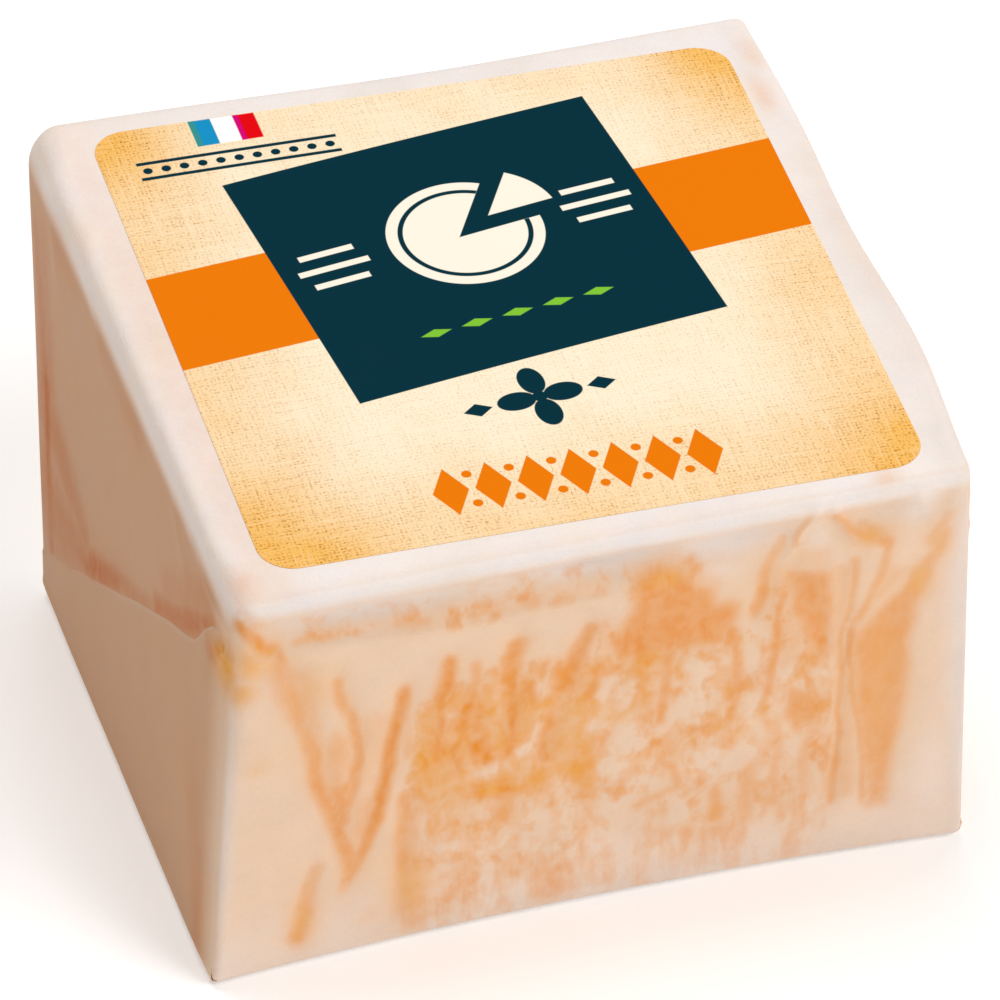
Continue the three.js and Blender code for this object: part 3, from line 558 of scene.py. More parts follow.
def paint_masks(u, v, w, points, end_table=END_STREAKS):
    """Masks by name: how the rind shows and how golden, the ends' warmer tone with painted shade, lifted
    paper with painted highlight, and painted shade.
    """
    out = facing(u, v, w)[0]
    front, back = smoothstep(0.35, 0.8, -out[:, 1]), smoothstep(0.35, 0.8, out[:, 1])
    left, right = smoothstep(0.25, 0.9, -out[:, 0]), smoothstep(0.25, 0.9, out[:, 0])
    top, under = smoothstep(0.3, 0.95, out[:, 2]), smoothstep(0.55, 1.0, -out[:, 2])
    ends = left + right
    x, z, height, deep = u * WIDTH, w * FRONT_HEIGHT, w * HEIGHT, v * DEPTH
    shoulder = smoothstep(36.4, 39.2, height)
    corner = np.exp(-(((points - skin(*GOLDEN_CORNER)) / GOLDEN_CORNER_REACH) ** 2).sum(1))

    long_faces = [
        [weight * part for part in long_face(x, z, points, *tables)]
        for weight, tables in ((front, FRONT_RIND), (back, BACK_RIND))
    ]
    cling, mottle, gold = (np.maximum(*parts) for parts in zip(*long_faces))
    at_end = (DEPTH - deep, height, points, end_table)
    cling = np.max([
        cling,
        left * LEFT_END_STAIN_AND_SHADE * end_face(*at_end, 70),
        right * end_face(*at_end, 90),
        top * strongest(spot, x, deep, TOP_TINTS),
        between(0.25, 1.0, left) * corner,
    ], axis=0)

    # painted highlight: the band along the front's top edge and the rounded edges in the table; the front and
    # back are also paler towards the foot
    loose = np.max([
        strongest(spot, x, z, FRONT_LOOSE_AND_HIGHLIT),
        smoothstep(34.6, 36.0, z),
        0.4 * (1 - smoothstep(0, 9, z)),
    ], axis=0)
    # the ends' shoulders are made paler as painted highlight
    lifted = np.max([top, (front + back) * loose, 0.8 * ends * shoulder, 0.9 * under], axis=0)
    # painted shade along the right of the top
    right_margin_shade = 0.28 * top * hump(x, WIDTH, 3.0) * (1 - smoothstep(36, 54, deep))
    return {
        "cling": cling,
        "mottle": mottle,
        "gold": np.maximum(gold, corner),
        # the ends' warmer, darker tone, partly painted shade; it fades out towards the front edge and the top
        # as painted highlight
        "end_tone_and_shade": ends * (1 - shoulder) * smoothstep(-0.6, 5.4, deep) * (1 - 0.8 * corner),
        "lifted": lifted,
        "painted_shade": np.maximum(front * strongest(spot, x, z, FRONT_PAINTED_SHADE), right_margin_shade),
    }


# Meshes


def edge_lines(steps, length, lean=0.0):
    """Shares along one side of the block, closer together where the paper turns, leaning towards its end."""
    close = np.array([0, 0.22, 0.44, 0.68, 0.95, 1.28, 1.7, 2.2]) / length
    even = np.linspace(0, 1, steps + 1)[1:-1]
    middle = between(close[-1], 1 - close[-1], even + lean * np.sin(np.pi * even))
    return np.concatenate([close, middle, 1 - close[::-1]])


def cube_skin(across, deep, high, rim=7):
    """Shares of each point, and faces, of the unit cube's skin divided along three sets of lines.

    The flat middle of the underside is one face.
    """
    sizes = (len(across), len(deep), len(high))
    quads = []
    for axis, end in ((axis, end) for axis in range(3) for end in (0, 1)):
        one, two = [a for a in range(3) if a != axis]
        cells = np.meshgrid(np.arange(sizes[one] - 1), np.arange(sizes[two] - 1), indexing="ij")
        i, j = (part.ravel() for part in cells)
        if axis == 2 and end == 0:
            kept = (np.minimum(i, sizes[0] - 2 - i) < rim) | (np.minimum(j, sizes[1] - 2 - j) < rim)
            i, j = i[kept], j[kept]
        ring = [(0, 0), (1, 0), (1, 1), (0, 1)]
        outward = (axis != 1) == (end > 0)
        corners = []
        for di, dj in ring if outward else ring[::-1]:
            place = [None] * 3
            place[axis], place[one], place[two] = np.full(i.size, end * (sizes[axis] - 1)), i + di, j + dj
            corners.append(np.ravel_multi_index(place, sizes))
        quads.append(np.stack(corners, 1))
    keys, quads = np.unique(np.concatenate(quads), return_inverse=True)
    far_i, far_j = sizes[0] - 1 - rim, sizes[1] - 1 - rim
    loop = [(rim, j) for j in range(rim, far_j)] + [(i, far_j) for i in range(rim, far_i)]
    loop += [(far_i, j) for j in range(far_j, rim, -1)] + [(i, rim) for i in range(far_i, rim, -1)]
    middle = np.searchsorted(keys, [np.ravel_multi_index((i, j, 0), sizes) for i, j in loop])
    at = np.unravel_index(keys, sizes)
    return across[at[0]], deep[at[1]], high[at[2]], [*quads.reshape(-1, 4).tolist(), middle.tolist()]


def mesh_object(name, points, faces, material, masks=None, sharp=None):
    """An object at the origin from points in millimetres, with its masks as attributes."""
    mesh = bpy.data.meshes.new(name)
    mesh.from_pydata((np.asarray(points) * MM).tolist(), [], faces)
    mesh.polygons.foreach_set("use_smooth", [True] * len(mesh.polygons))
    for label, values in (masks or {}).items():
        attribute = mesh.attributes.new(label, "FLOAT", "POINT")
        attribute.data.foreach_set("value", np.ascontiguousarray(values, np.float32))
    if sharp:
        mesh.set_sharp_from_angle(angle=math.radians(sharp))
    mesh.materials.append(material)
    mesh.validate()
    return in_scene(name, mesh)


def in_scene(name, data):
    """An object of that name in the scene."""
    made = bpy.data.objects.new(name, data)
    bpy.context.scene.collection.objects.link(made)
    return made


def paper_sheet(outer, inner):
    """Points and quads of a closed thin sheet between two grids of points."""
    rows, columns = outer.shape[:2]
    index = np.arange(rows * columns).reshape(rows, columns)
    corners = (index[:-1, :-1], index[:-1, 1:], index[1:, 1:], index[1:, :-1])
    face = np.stack([corner.ravel() for corner in corners], 1)
    under = face[:, ::-1] + index.size
    rim = np.concatenate([index[0, :], index[1:, -1], index[-1, -2::-1], index[-2:0:-1, 0]])
    follow = np.roll(rim, -1)
    side = np.stack([follow, rim, rim + index.size, follow + index.size], 1)
    points = np.concatenate([outer.reshape(-1, 3), inner.reshape(-1, 3)])
    return points, np.concatenate([face, under, side]).tolist()


def lap_top(v):
    return np.interp(v, LAP_EDGE[:, 0], LAP_EDGE[:, 1])


def lap_grid():
    """Shares in from the end, deep and high, of a lap: its tail under the block, its turn and its face."""
    across = np.concatenate([np.linspace(0, 0.16, 26)[:-1], np.linspace(0.16, 1, 60)])
    tail, turn = np.linspace(LAP_TAIL, 0.03, 12), np.linspace(0.025, 0, 7)
    up = np.concatenate([np.linspace(0, 1, 44)[1:-1], [0.984, 0.992, 1.0]])
    face = between(LAP_EDGE[0, 0], LAP_EDGE[-1, 0], across)
    rows = []
    for inwards in [*tail, *turn]:
        inset = np.interp(inwards, [0, 0.03, LAP_TAIL], [0.014, 0.04, 0.26])
        v = between(inset, 1 - inset, across)
        v = between(face, v, smoothstep(0, 0.03, inwards))
        rows.append((np.full(v.shape, inwards), v, np.zeros(v.shape)))
    for share in up:
        rows.append((np.zeros(face.shape), face, share * lap_top(face)))
    return (np.array(part) for part in zip(*rows))


def lap_stand(inwards, v, w, lift, thickness):
    """How far a lap's outer side stands off the block, and the painted highlight along its edge."""
    start = smoothstep(0.012, 0.075, v)
    loose = start * between(1, 0.4, smoothstep(0.5, 1, v))
    on_face = smoothstep(0.0, 0.04, w)
    below_edge = np.clip((lap_top(v) - w) * HEIGHT, 0, None)
    stands = between(-LAP_SUNK, 0.9 * thickness, start)
    stands = stands + (lift - thickness) * loose * smoothstep(0.0, 6.0, below_edge)
    noise = value_noise(np.stack([v, w, inwards], -1).reshape(-1, 3) * WIDTH, 7.0, 5)
    ripple = 0.05 * (noise.reshape(v.shape) - 0.5)
    stands = stands + ripple * loose * smoothstep(0.0, 3.0, below_edge)
    stands = between(-LAP_SUNK, stands, smoothstep(-0.1, 0.42, below_edge))
    # painted highlight along the lap's edge
    edge_highlight = 0.14 * on_face * (1 - smoothstep(0.4, 0.8, v)) * (1 - smoothstep(0.1, 0.6, below_edge))
    return between(UNDER_FOLD, stands, on_face), edge_highlight


def end_lap(u_end, lift, thickness, deep):
    """Points, quads and masks of the paper folded over an end and under the block."""
    inwards, v, w = lap_grid()
    high, edge_highlight = lap_stand(inwards, v, w, lift, thickness)
    u = np.abs(u_end - inwards)
    outer = skin(u, v, w, high, deep, fine=True)
    inner = skin(u, v, w, high - thickness, deep, fine=True)
    masks = paint_masks(u.ravel(), v.ravel(), w.ravel(), outer.reshape(-1, 3), LAP_TINTS)
    masks = {name: values.reshape(v.shape) for name, values in masks.items()}
    # the lap's edge carries painted highlight
    masks["lifted"] = np.maximum(masks["lifted"], edge_highlight)
    if u_end == 1:
        outer, inner = outer[:, ::-1], inner[:, ::-1]
        masks = {name: values[:, ::-1] for name, values in masks.items()}
    points, faces = paper_sheet(outer, inner)
    return points, faces, {name: np.tile(values.ravel(), 2) for name, values in masks.items()}


# Node graphs


class Graph:
    """Adds nodes to one tree and wires them."""

    def __init__(self, tree):
        self.tree = tree

    def node(self, kind, settings=None, inputs=None):
        made = self.tree.nodes.new(kind)
        for name, value in (settings or {}).items():
            setattr(made, name, value)
        for name, value in (inputs or {}).items():
            self.wire(value, made.inputs[name])
        return made

    def wire(self, value, socket):
        if isinstance(value, bpy.types.NodeSocket):
            self.tree.links.new(value, socket)
        elif socket.type == "RGBA":
            socket.default_value = (*value[:3], 1.0)
        else:
            socket.default_value = value

    def math(self, operation, *values, clamp=False):
        settings = {"operation": operation, "use_clamp": clamp}
        return self.node("ShaderNodeMath", settings, dict(enumerate(values))).outputs[0]

    def plus(self, one, two, clamp=False):
        return self.math("ADD", one, two, clamp=clamp)

    def minus(self, one, two, clamp=False):
        return self.math("SUBTRACT", one, two, clamp=clamp)

    def times(self, one, two, clamp=False):
        return self.math("MULTIPLY", one, two, clamp=clamp)

    def times_plus(self, one, two, three, clamp=False):
        return self.math("MULTIPLY_ADD", one, two, three, clamp=clamp)

    def over(self, one, two):
        return self.math("DIVIDE", one, two)

    def larger(self, one, two):
        return self.math("MAXIMUM", one, two)

    def smaller(self, one, two):
        return self.math("MINIMUM", one, two)

    def unsigned(self, value):
        return self.math("ABSOLUTE", value)

    def vector(self, operation, *values):
        made = self.node("ShaderNodeVectorMath", {"operation": operation}, dict(enumerate(values)))
        return made.outputs["Value" if operation == "LENGTH" else "Vector"]

    def scaled(self, vector, x, y, z):
        return self.vector("MULTIPLY", vector, (x, y, z))

    def turned(self, vector, angle):
        settings = {"rotation_type": "Z_AXIS"}
        return self.node("ShaderNodeVectorRotate", settings, {"Vector": vector, "Angle": angle}).outputs[0]

    def range(self, value, low, high, to_low=0.0, to_high=1.0):
        """A value's smooth way from low to high."""
        inputs = {"Value": value, "From Min": low, "From Max": high, "To Min": to_low, "To Max": to_high}
        return self.node("ShaderNodeMapRange", {"interpolation_type": "SMOOTHSTEP"}, inputs).outputs[0]

    def mix(self, factor, one, two, blend="MIX"):
        settings = {"data_type": "RGBA", "blend_type": blend}
        return self.node("ShaderNodeMix", settings, {0: factor, 6: one, 7: two}).outputs[2]

    def noise(self, vector, scale, detail=2.0, roughness=0.5, output="Fac"):
        inputs = {"Vector": vector, "Scale": scale, "Detail": detail, "Roughness": roughness}
        return self.node("ShaderNodeTexNoise", {}, inputs).outputs[output]

    def drift(self, vector, scale, detail=2.0, roughness=0.5):
        """A vector that wanders smoothly to each side of nought."""
        return self.vector("SUBTRACT", self.noise(vector, scale, detail, roughness, "Color"), (0.5, 0.5, 0.5))

    def parts(self, vector):
        made = self.node("ShaderNodeSeparateXYZ", {}, {0: vector})
        return made.outputs[0], made.outputs[1], made.outputs[2]

    def joined(self, x, y, z=0.0):
        return self.node("ShaderNodeCombineXYZ", {}, {0: x, 1: y, 2: z}).outputs[0]

    def mask(self, name):
        return self.node("ShaderNodeAttribute", {"attribute_name": name}).outputs["Fac"]

    def group(self, tree, inputs):
        return self.node("ShaderNodeGroup", {"node_tree": tree}, inputs).outputs

    def arrange(self):
        """Lays the nodes out in columns, by how far each is from the start."""
        level = {}
        for _ in range(60):
            before = dict(level)
            for link in self.tree.links:
                level[link.to_node] = max(level.get(link.to_node, 0), level.get(link.from_node, 0) + 1)
            if level == before:
                break
        filled = {}
        for node in self.tree.nodes:
            column = level.get(node, 0)
            filled[column] = filled.get(column, 0) + 1
            node.location = (220 * column, -190 * filled[column])


def add_sockets(tree, inputs, outputs):
    """Names a tree's sockets, and gives each input its default."""
    for label, kind, default in inputs:
        socket = tree.interface.new_socket(label, in_out="INPUT", socket_type=kind)
        if default is not None:
            socket.default_value = default
    for label, kind in outputs:
        tree.interface.new_socket(label, in_out="OUTPUT", socket_type=kind)


def new_group(name, inputs, outputs):
    """An empty shader node group with named sockets, and its graph, inputs and outputs."""
    tree = bpy.data.node_groups.new(name, "ShaderNodeTree")
    add_sockets(tree, inputs, outputs)
    graph = Graph(tree)
    return tree, graph, graph.node("NodeGroupInput").outputs, graph.node("NodeGroupOutput").inputs


def waxed_paper_grain():
    """Clouds and short fibres of waxed paper, over a place in millimetres."""
    name = "Waxed paper grain"
    if name in bpy.data.node_groups:
        return bpy.data.node_groups[name]
    tree, g, given, result = new_group(
        name,
        [("Place", "NodeSocketVector", None), ("Grain size", "NodeSocketFloat", 0.35),
         ("Fibres", "NodeSocketFloat", 0.4)],
        [("Tone", "NodeSocketFloat"), ("Height", "NodeSocketFloat")],
    )
    place = given["Place"]
    fine = g.noise(place, g.over(1.0, given["Grain size"]), 3.0, 0.6)
    cloud = g.noise(place, 0.22)
    wander = g.vector("MULTIPLY_ADD", g.noise(place, 0.4, 1.0, output="Color"), (2.0, 2.0, 2.0), place)
    fibre = g.noise(g.scaled(wander, 0.5, 0.5, 2.6), 1.5, 2.0, 0.55)
    fibre = g.range(g.unsigned(g.minus(fibre, 0.5)), 0.0, 0.07, 1.0, 0.0)
    tone = g.plus(g.times(g.minus(cloud, 0.5), 1.4), 0.5)
    g.wire(g.times_plus(g.minus(fine, 0.5), 0.8, tone), result["Tone"])
    g.wire(g.plus(g.times(fine, 0.6), g.times(fibre, given["Fibres"])), result["Height"])
    g.arrange()
    return tree


def linen_weave():
    """Uneven crossing threads, over a place in millimetres."""
    name = "Linen weave"
    if name in bpy.data.node_groups:
        return bpy.data.node_groups[name]
    tree, g, given, result = new_group(
        name,
        [("Place", "NodeSocketVector", None), ("Pitch", "NodeSocketFloat", 0.34),
         ("Unevenness", "NodeSocketFloat", 0.6)],
        [("Thread", "NodeSocketFloat"), ("Slub", "NodeSocketFloat")],
    )
    place = given["Place"]
    drift = g.vector("SCALE", g.drift(place, 0.5))
    g.wire(0.3, drift.node.inputs["Scale"])
    x, y, _ = g.parts(g.vector("ADD", place, drift))
    turn = g.over(2 * math.pi, given["Pitch"])
    warp, weft = (g.math("SINE", g.times(along, turn)) for along in (x, y))
    threads = g.times(g.plus(warp, weft), 0.05)
    # slubs are drawn out along a thread, and narrow across it
    along, across = 0.16, 3.0
    slub_x = g.noise(g.joined(g.times(x, along), g.times(y, across)), 1.0, 2.0, 0.6)
    slub_y = g.noise(g.joined(g.times(x, across), g.times(y, along)), 1.0, 2.0, 0.6)
    slub = g.minus(g.plus(slub_x, slub_y), 1.0)
    grain = g.minus(g.noise(place, 4.4, 2.0, 0.7), 0.5)
    uneven = g.times_plus(slub, 0.6, g.times(grain, 2.2))
    mixed = g.times_plus(uneven, given["Unevenness"], threads)
    g.wire(g.plus(mixed, 0.5, clamp=True), result["Thread"])
    g.wire(g.larger(g.range(slub_x, 0.56, 0.74), g.range(slub_y, 0.56, 0.74)), result["Slub"])
    g.arrange()
    return tree


def shade(g, colour, roughness, height, bump, **sockets):
    """Wires a material's colour, roughness and bump, and sets its other sockets."""
    surface = g.node("ShaderNodeBsdfPrincipled")
    for name, value in {"Base Color": colour, "Roughness": roughness, **sockets}.items():
        g.wire(value, surface.inputs[name.replace("_", " ")])
    strength, distance = bump
    inputs = {"Height": height, "Strength": strength, "Distance": distance}
    g.wire(g.node("ShaderNodeBump", {}, inputs).outputs[0], surface.inputs["Normal"])
    g.wire(surface.outputs[0], g.node("ShaderNodeOutputMaterial").inputs[0])
    g.arrange()


def new_material(name):
    """The material of that name if it exists, or a new one with an empty graph and true."""
    if name in bpy.data.materials:
        return bpy.data.materials[name], False
    material = bpy.data.materials.new(name)
    material.use_nodes = True
    material.node_tree.nodes.clear()
    return material, True


def rind_shown(g, place, cling, mottle, gold):
    """How strongly the rind shows, and how much of that is where the paper clings."""
    # soft blots, mixed near the foot with runs drawn out downwards
    moved = g.vector("MULTIPLY_ADD", g.drift(place, 0.35, 1.0), (1.2, 1.2, 1.6), place)
    wide = g.range(g.noise(g.scaled(moved, 1, 1, 0.8), 0.42, 3.0), 0.37, 0.63)
    small = g.range(g.noise(g.scaled(moved, 1, 1, 0.75), 1.0, 1.5), 0.34, 0.66)
    blots = g.times_plus(wide, 0.58, g.times(small, 0.42))
    runs = g.range(g.noise(g.scaled(place, 1, 1, 0.2), 0.7), 0.34, 0.68)
    low = g.range(g.parts(place)[2], 2.0, 12.0, 0.5, 0.0)
    pattern = g.times_plus(g.minus(runs, blots), low, blots)
    # the mottled field swings most where it is neither bare nor full
    swing = g.times(g.times_plus(mottle, -0.78, 1.17), g.times(mottle, 2.0, clamp=True))
    uneven = g.times(g.minus(pattern, 0.5), swing)
    field = g.times_plus(g.math("POWER", mottle, 1.3), 0.58, uneven, clamp=True)
    field = g.times_plus(g.times(gold, mottle), 0.25, field)
    wear = g.plus(g.times(g.minus(runs, 0.5), 0.1), g.times_plus(g.minus(small, 0.5), 0.14, 0.82))
    clung = g.times(cling, wear)
    both = g.times(g.smaller(clung, field), 0.12)
    return g.plus(g.larger(clung, field), both, clamp=True), clung


def rind_colour(g, settings, place, shown, clung, mottle, gold, end_tone_and_shade):
    """Orange rind, more golden where it is faint or mottled, and darker at the ends, partly as painted shade.
    """
    golden = g.larger(gold, g.range(g.noise(place, 0.3), 0.45, 0.75, 0.0, 0.4))
    golden = g.larger(golden, g.times(mottle, g.times_plus(clung, -0.6, 0.75)))
    golden = g.larger(golden, g.times_plus(shown, -0.7, 0.7))
    rind = g.mix(golden, settings.rind_colour, settings.golden_rind_colour)
    return g.mix(end_tone_and_shade, rind, settings.end_rind_and_shade_colour)


def bare_paper_colour(g, settings, place, tone, end_tone_and_shade, lifted, painted_shade):
    """The paper itself, warmer and darker at the ends as partly painted shade, paler where lifted and as
    painted highlight, darker as painted shade, in faint clouds of yellower and pinker white.
    """
    paper = g.mix(end_tone_and_shade, settings.paper_colour, settings.end_paper_and_shade_colour)
    paper = g.mix(g.times(lifted, 0.9), paper, settings.lifted_paper_and_highlight_colour)
    paper = g.mix(painted_shade, paper, settings.shaded_paper_colour)
    cloudy = g.times_plus(g.minus(tone, 0.5), 0.09, 1.0)
    hue = g.minus(g.noise(place, 0.16, 3.0, 0.6), 0.5)
    green, blue = (g.times(g.times_plus(hue, amount, 1.0), cloudy) for amount in (0.06, 0.22))
    return g.mix(1.0, paper, g.joined(cloudy, green, blue), "MULTIPLY")


def waxed_paper(settings):
    """White waxed paper with the orange rind showing through where it clings."""
    material, fresh = new_material("Waxed paper over ripe rind")
    if not fresh:
        return material
    g = Graph(material.node_tree)
    place = g.scaled(g.node("ShaderNodeTexCoord").outputs["Object"], PER_METRE, PER_METRE, PER_METRE)
    grain = g.group(waxed_paper_grain(), {"Place": place, "Grain size": 0.35, "Fibres": 0.35})
    masks = ("cling", "mottle", "gold", "end_tone_and_shade", "lifted", "painted_shade")
    cling, mottle, gold, end_tone_and_shade, lifted, painted_shade = (g.mask(name) for name in masks)
    shown, clung = rind_shown(g, place, cling, mottle, gold)
    rind = rind_colour(g, settings, place, shown, clung, mottle, gold, end_tone_and_shade)
    paper = bare_paper_colour(g, settings, place, grain["Tone"], end_tone_and_shade, lifted, painted_shade)
    colour = g.mix(g.times(shown, settings.rind_strength), paper, rind)
    halo = g.times(g.minus(0.9, shown, clamp=True), g.times(gold, 0.66))
    colour = g.mix(halo, colour, settings.golden_rind_colour)
    gloss = g.times_plus(grain["Tone"], 0.12, settings.paper_roughness - 0.06)
    roughness = g.times_plus(shown, -0.06, gloss)
    shade(g, colour, roughness, grain["Height"], (0.25, 0.00012), IOR=1.45, Specular_IOR_Level=0.04,
          Subsurface_Weight=0.06, Subsurface_Radius=(1.0, 0.55, 0.3), Subsurface_Scale=0.001)
    return material


class Print(Graph):
    """A graph that prints flat shapes over one another, at places in millimetres from the label's middle.

    Each shape is a distance to its outline, below nought inside it.
    """

    def __init__(self, tree, width, depth):
        super().__init__(tree)
        uv = self.node("ShaderNodeUVMap", {"uv_map": "label_uv"}).outputs[0]
        self.place = self.scaled(self.shifted(uv, 0.5, 0.5), width, depth, 0)
        self.colour = None

    def shifted(self, at, x, y):
        return self.vector("SUBTRACT", at, (x, y, 0.0))

    def placed(self, x, y, degrees=0.0):
        """Places about another middle, turned there."""
        return self.turned(self.shifted(self.place, x, y), -math.radians(degrees))

    def folded(self, at):
        """Places folded over onto the quarter right of and behind the middle."""
        return self.parts(self.vector("ABSOLUTE", at))[:2]

    def slab(self, at, half_x, half_y):
        x, y = self.folded(at)
        return self.larger(self.minus(x, half_x), self.minus(y, half_y))

    def disc(self, at, radius):
        return self.minus(self.vector("LENGTH", at), radius)

    def lozenge(self, at, half_x, half_y):
        x, y = self.folded(at)
        sloped = self.minus(self.plus(self.over(x, half_x), self.over(y, half_y)), 1.0)
        return self.times(sloped, half_x * half_y / math.hypot(half_x, half_y))

    def repeated(self, at, pitch, count):
        """Places folded into a row of equal cells, and the distance past the row's ends."""
        x, y, z = self.parts(at)
        cell = self.math("WRAP", x, pitch / 2, -pitch / 2)
        past = self.minus(self.unsigned(x), pitch * count / 2)
        return self.joined(cell, y, z), past

    def ink(self, shape, colour, soft=0.045):
        self.colour = self.mix(self.range(shape, -soft, soft, 1.0, 0.0), self.colour, colour)


def linen_ground(p, settings, weave):
    """Linen, deeper towards its edges and most in its corners, with dark specks and light slubs."""
    wide, deep = settings.width * PER_METRE, settings.depth * PER_METRE
    x, y, _ = p.parts(p.place)
    side = p.range(p.unsigned(x), wide * 0.24, wide * 0.52)
    back = p.range(y, deep * 0.26, deep * 0.52)
    front = p.range(y, -deep * 0.22, -deep * 0.52)
    edge = p.larger(p.times(side, 0.5), p.larger(p.times(back, 0.2), p.times(front, 0.5)))
    corner = p.times(side, p.plus(back, front))
    cloud = p.minus(p.noise(p.place, 0.12, 3.0, 0.6), 0.5)
    depth = p.plus(p.times_plus(corner, 0.7, edge), p.times(cloud, 0.5), clamp=True)
    ground = p.mix(depth, settings.linen_colour, settings.linen_edge_colour)
    dark = p.times(p.range(weave["Thread"], 0.52, 0.12), p.times_plus(depth, 0.8, 0.34), clamp=True)
    ground = p.mix(dark, ground, settings.linen_thread_colour)
    light = p.times(p.larger(weave["Slub"], p.range(weave["Thread"], 0.6, 0.95)), 0.18)
    p.colour = p.mix(light, ground, (1.0, 0.93, 0.78))


def band_and_panel(p, settings, weave):
    """The slightly curved band and the dark panel over it; gives the band's ink and the panel's places."""
    tone = p.times_plus(weave["Thread"], 0.05, 0.975)
    band_ink = p.mix(1.0, settings.band_colour, p.joined(tone, tone, tone), "MULTIPLY")
    x, y, _ = p.parts(p.place)
    curve, slope, start, half = 0.00057, 0.1077, 5.53, 5.9
    middle = p.times_plus(x, p.times_plus(x, curve, slope), start)
    p.ink(p.minus(p.unsigned(p.minus(y, middle)), half), band_ink)
    # the panel's two sides are turned a little less than its front and back
    across, deep = (p.placed(-0.45, 6.61, turn) for turn in (6.7, 8.2))
    panel = p.joined(p.parts(across)[0], p.parts(deep)[1])
    p.ink(p.slab(panel, 16.27, 14.93), settings.panel_colour)
    return band_ink, panel


def panel_figures(p, settings, panel):
    """In the panel, a cut round of cheese between rules, over a row of small green leaves."""
    cream, radius, cut_turn, gap = settings.cream_ink_colour, 6.6, -math.radians(28), 0.35
    opening = math.radians(26)
    middle = p.shifted(panel, 0.0, 1.6)

    def wedge(at):
        x, y, _ = p.parts(at)
        return p.minus(p.times(p.unsigned(y), math.cos(opening)), p.times(x, math.sin(opening)))

    cut = wedge(p.turned(middle, cut_turn))
    round_part = p.larger(p.disc(middle, radius), p.minus(gap, cut))
    p.ink(round_part, cream)
    away = p.turned(p.shifted(middle, 1.9, 1.0), cut_turn)
    p.ink(p.larger(p.disc(away, radius), p.plus(wedge(away), gap)), cream)
    rind_ring = p.minus(p.unsigned(p.disc(middle, 5.4)), 0.22)
    p.ink(p.larger(rind_ring, round_part), settings.panel_colour)

    x, y, _ = p.parts(middle)
    beside = p.joined(p.minus(p.unsigned(x), 11.7), y)
    for high, half in ((1.9, 2.4), (0.0, 3.1), (-1.9, 2.4)):
        p.ink(p.slab(p.shifted(beside, 0.0, high), half, 0.34), cream)
    leaf, past = p.repeated(p.shifted(panel, 0.0, -9.3), 3.6, 5)
    p.ink(p.larger(p.lozenge(leaf, 1.35, 0.5), past), settings.leaf_colour)


def back_figures(p, settings):
    """Fields of colour at the back, and two fine rules with dots between them in front of those."""
    fields = (
        (-17.91, 0.955, settings.blue_colour), (-18.62, 0.25, settings.teal_colour),
        (-16.01, 0.95, (1.0, 1.0, 1.0)),
        (-14.15, 0.91, settings.red_colour), (-14.84, 0.22, settings.magenta_colour),
    )
    for x, half, colour in fields:
        p.ink(p.slab(p.placed(x, 26.4), half, 1.76), colour, 0.07)
    line = p.placed(-15.95, 22.45, -0.4)
    for high in (1.0, -1.0):
        p.ink(p.slab(p.shifted(line, 0.0, high), 8.5, 0.2), settings.panel_colour)
    dot, past = p.repeated(line, 1.55, 11)
    p.ink(p.larger(p.disc(dot, 0.4), past), settings.panel_colour)


def front_figures(p, settings, band_ink):
    """In front of the panel, a four-petalled figure between two leaves, and a row of lozenges and dots."""
    flower = p.placed(-0.6, -13.2, 5.0)
    x, y = p.folded(flower)
    petal = p.shifted(p.joined(p.larger(x, y), p.smaller(x, y)), 2.0, 0.0)
    p.ink(p.disc(p.scaled(petal, 0.66, 1.0, 1.0), 1.08), settings.panel_colour)
    p.ink(p.disc(flower, 0.62), settings.panel_colour)
    side_leaf = p.joined(p.minus(x, 5.3), y)
    p.ink(p.lozenge(side_leaf, 1.25, 0.8), settings.panel_colour)
    row, pitch = p.placed(-0.2, -22.65, -0.5), 3.5
    cell, past = p.repeated(row, pitch, 7)
    p.ink(p.larger(p.lozenge(cell, 1.5, 2.8), past), band_ink)
    for high in (1.75, -1.75):
        bead, past = p.repeated(p.shifted(row, 0.0, high), pitch, 6)
        x, y = p.folded(bead)
        between_cells = p.joined(p.minus(x, pitch / 2), y)
        p.ink(p.larger(p.disc(between_cells, 0.42), p.minus(past, 0.5)), band_ink)


def printed_label_paper(settings):
    """The label's print: linen ground, slanting band, dark panel, fields of colour and simple figures."""
    material, fresh = new_material("Printed label paper")
    if not fresh:
        return material
    p = Print(material.node_tree, settings.width * PER_METRE, settings.depth * PER_METRE)
    pitch = settings.thread_pitch * PER_METRE
    weave = p.group(linen_weave(), {"Place": p.place, "Pitch": pitch, "Unevenness": 0.6})
    linen_ground(p, settings, weave)
    band_ink, panel = band_and_panel(p, settings, weave)
    panel_figures(p, settings, panel)
    back_figures(p, settings)
    front_figures(p, settings, band_ink)
    grain = p.group(waxed_paper_grain(), {"Place": p.place, "Grain size": 0.25, "Fibres": 0.2})
    roughness = p.times_plus(grain["Tone"], 0.1, settings.roughness - 0.05)
    shade(p, p.colour, roughness, grain["Height"], (0.15, 0.00006), IOR=1.45, Specular_IOR_Level=0.03)
    return material


# The label's surface, as geometry nodes


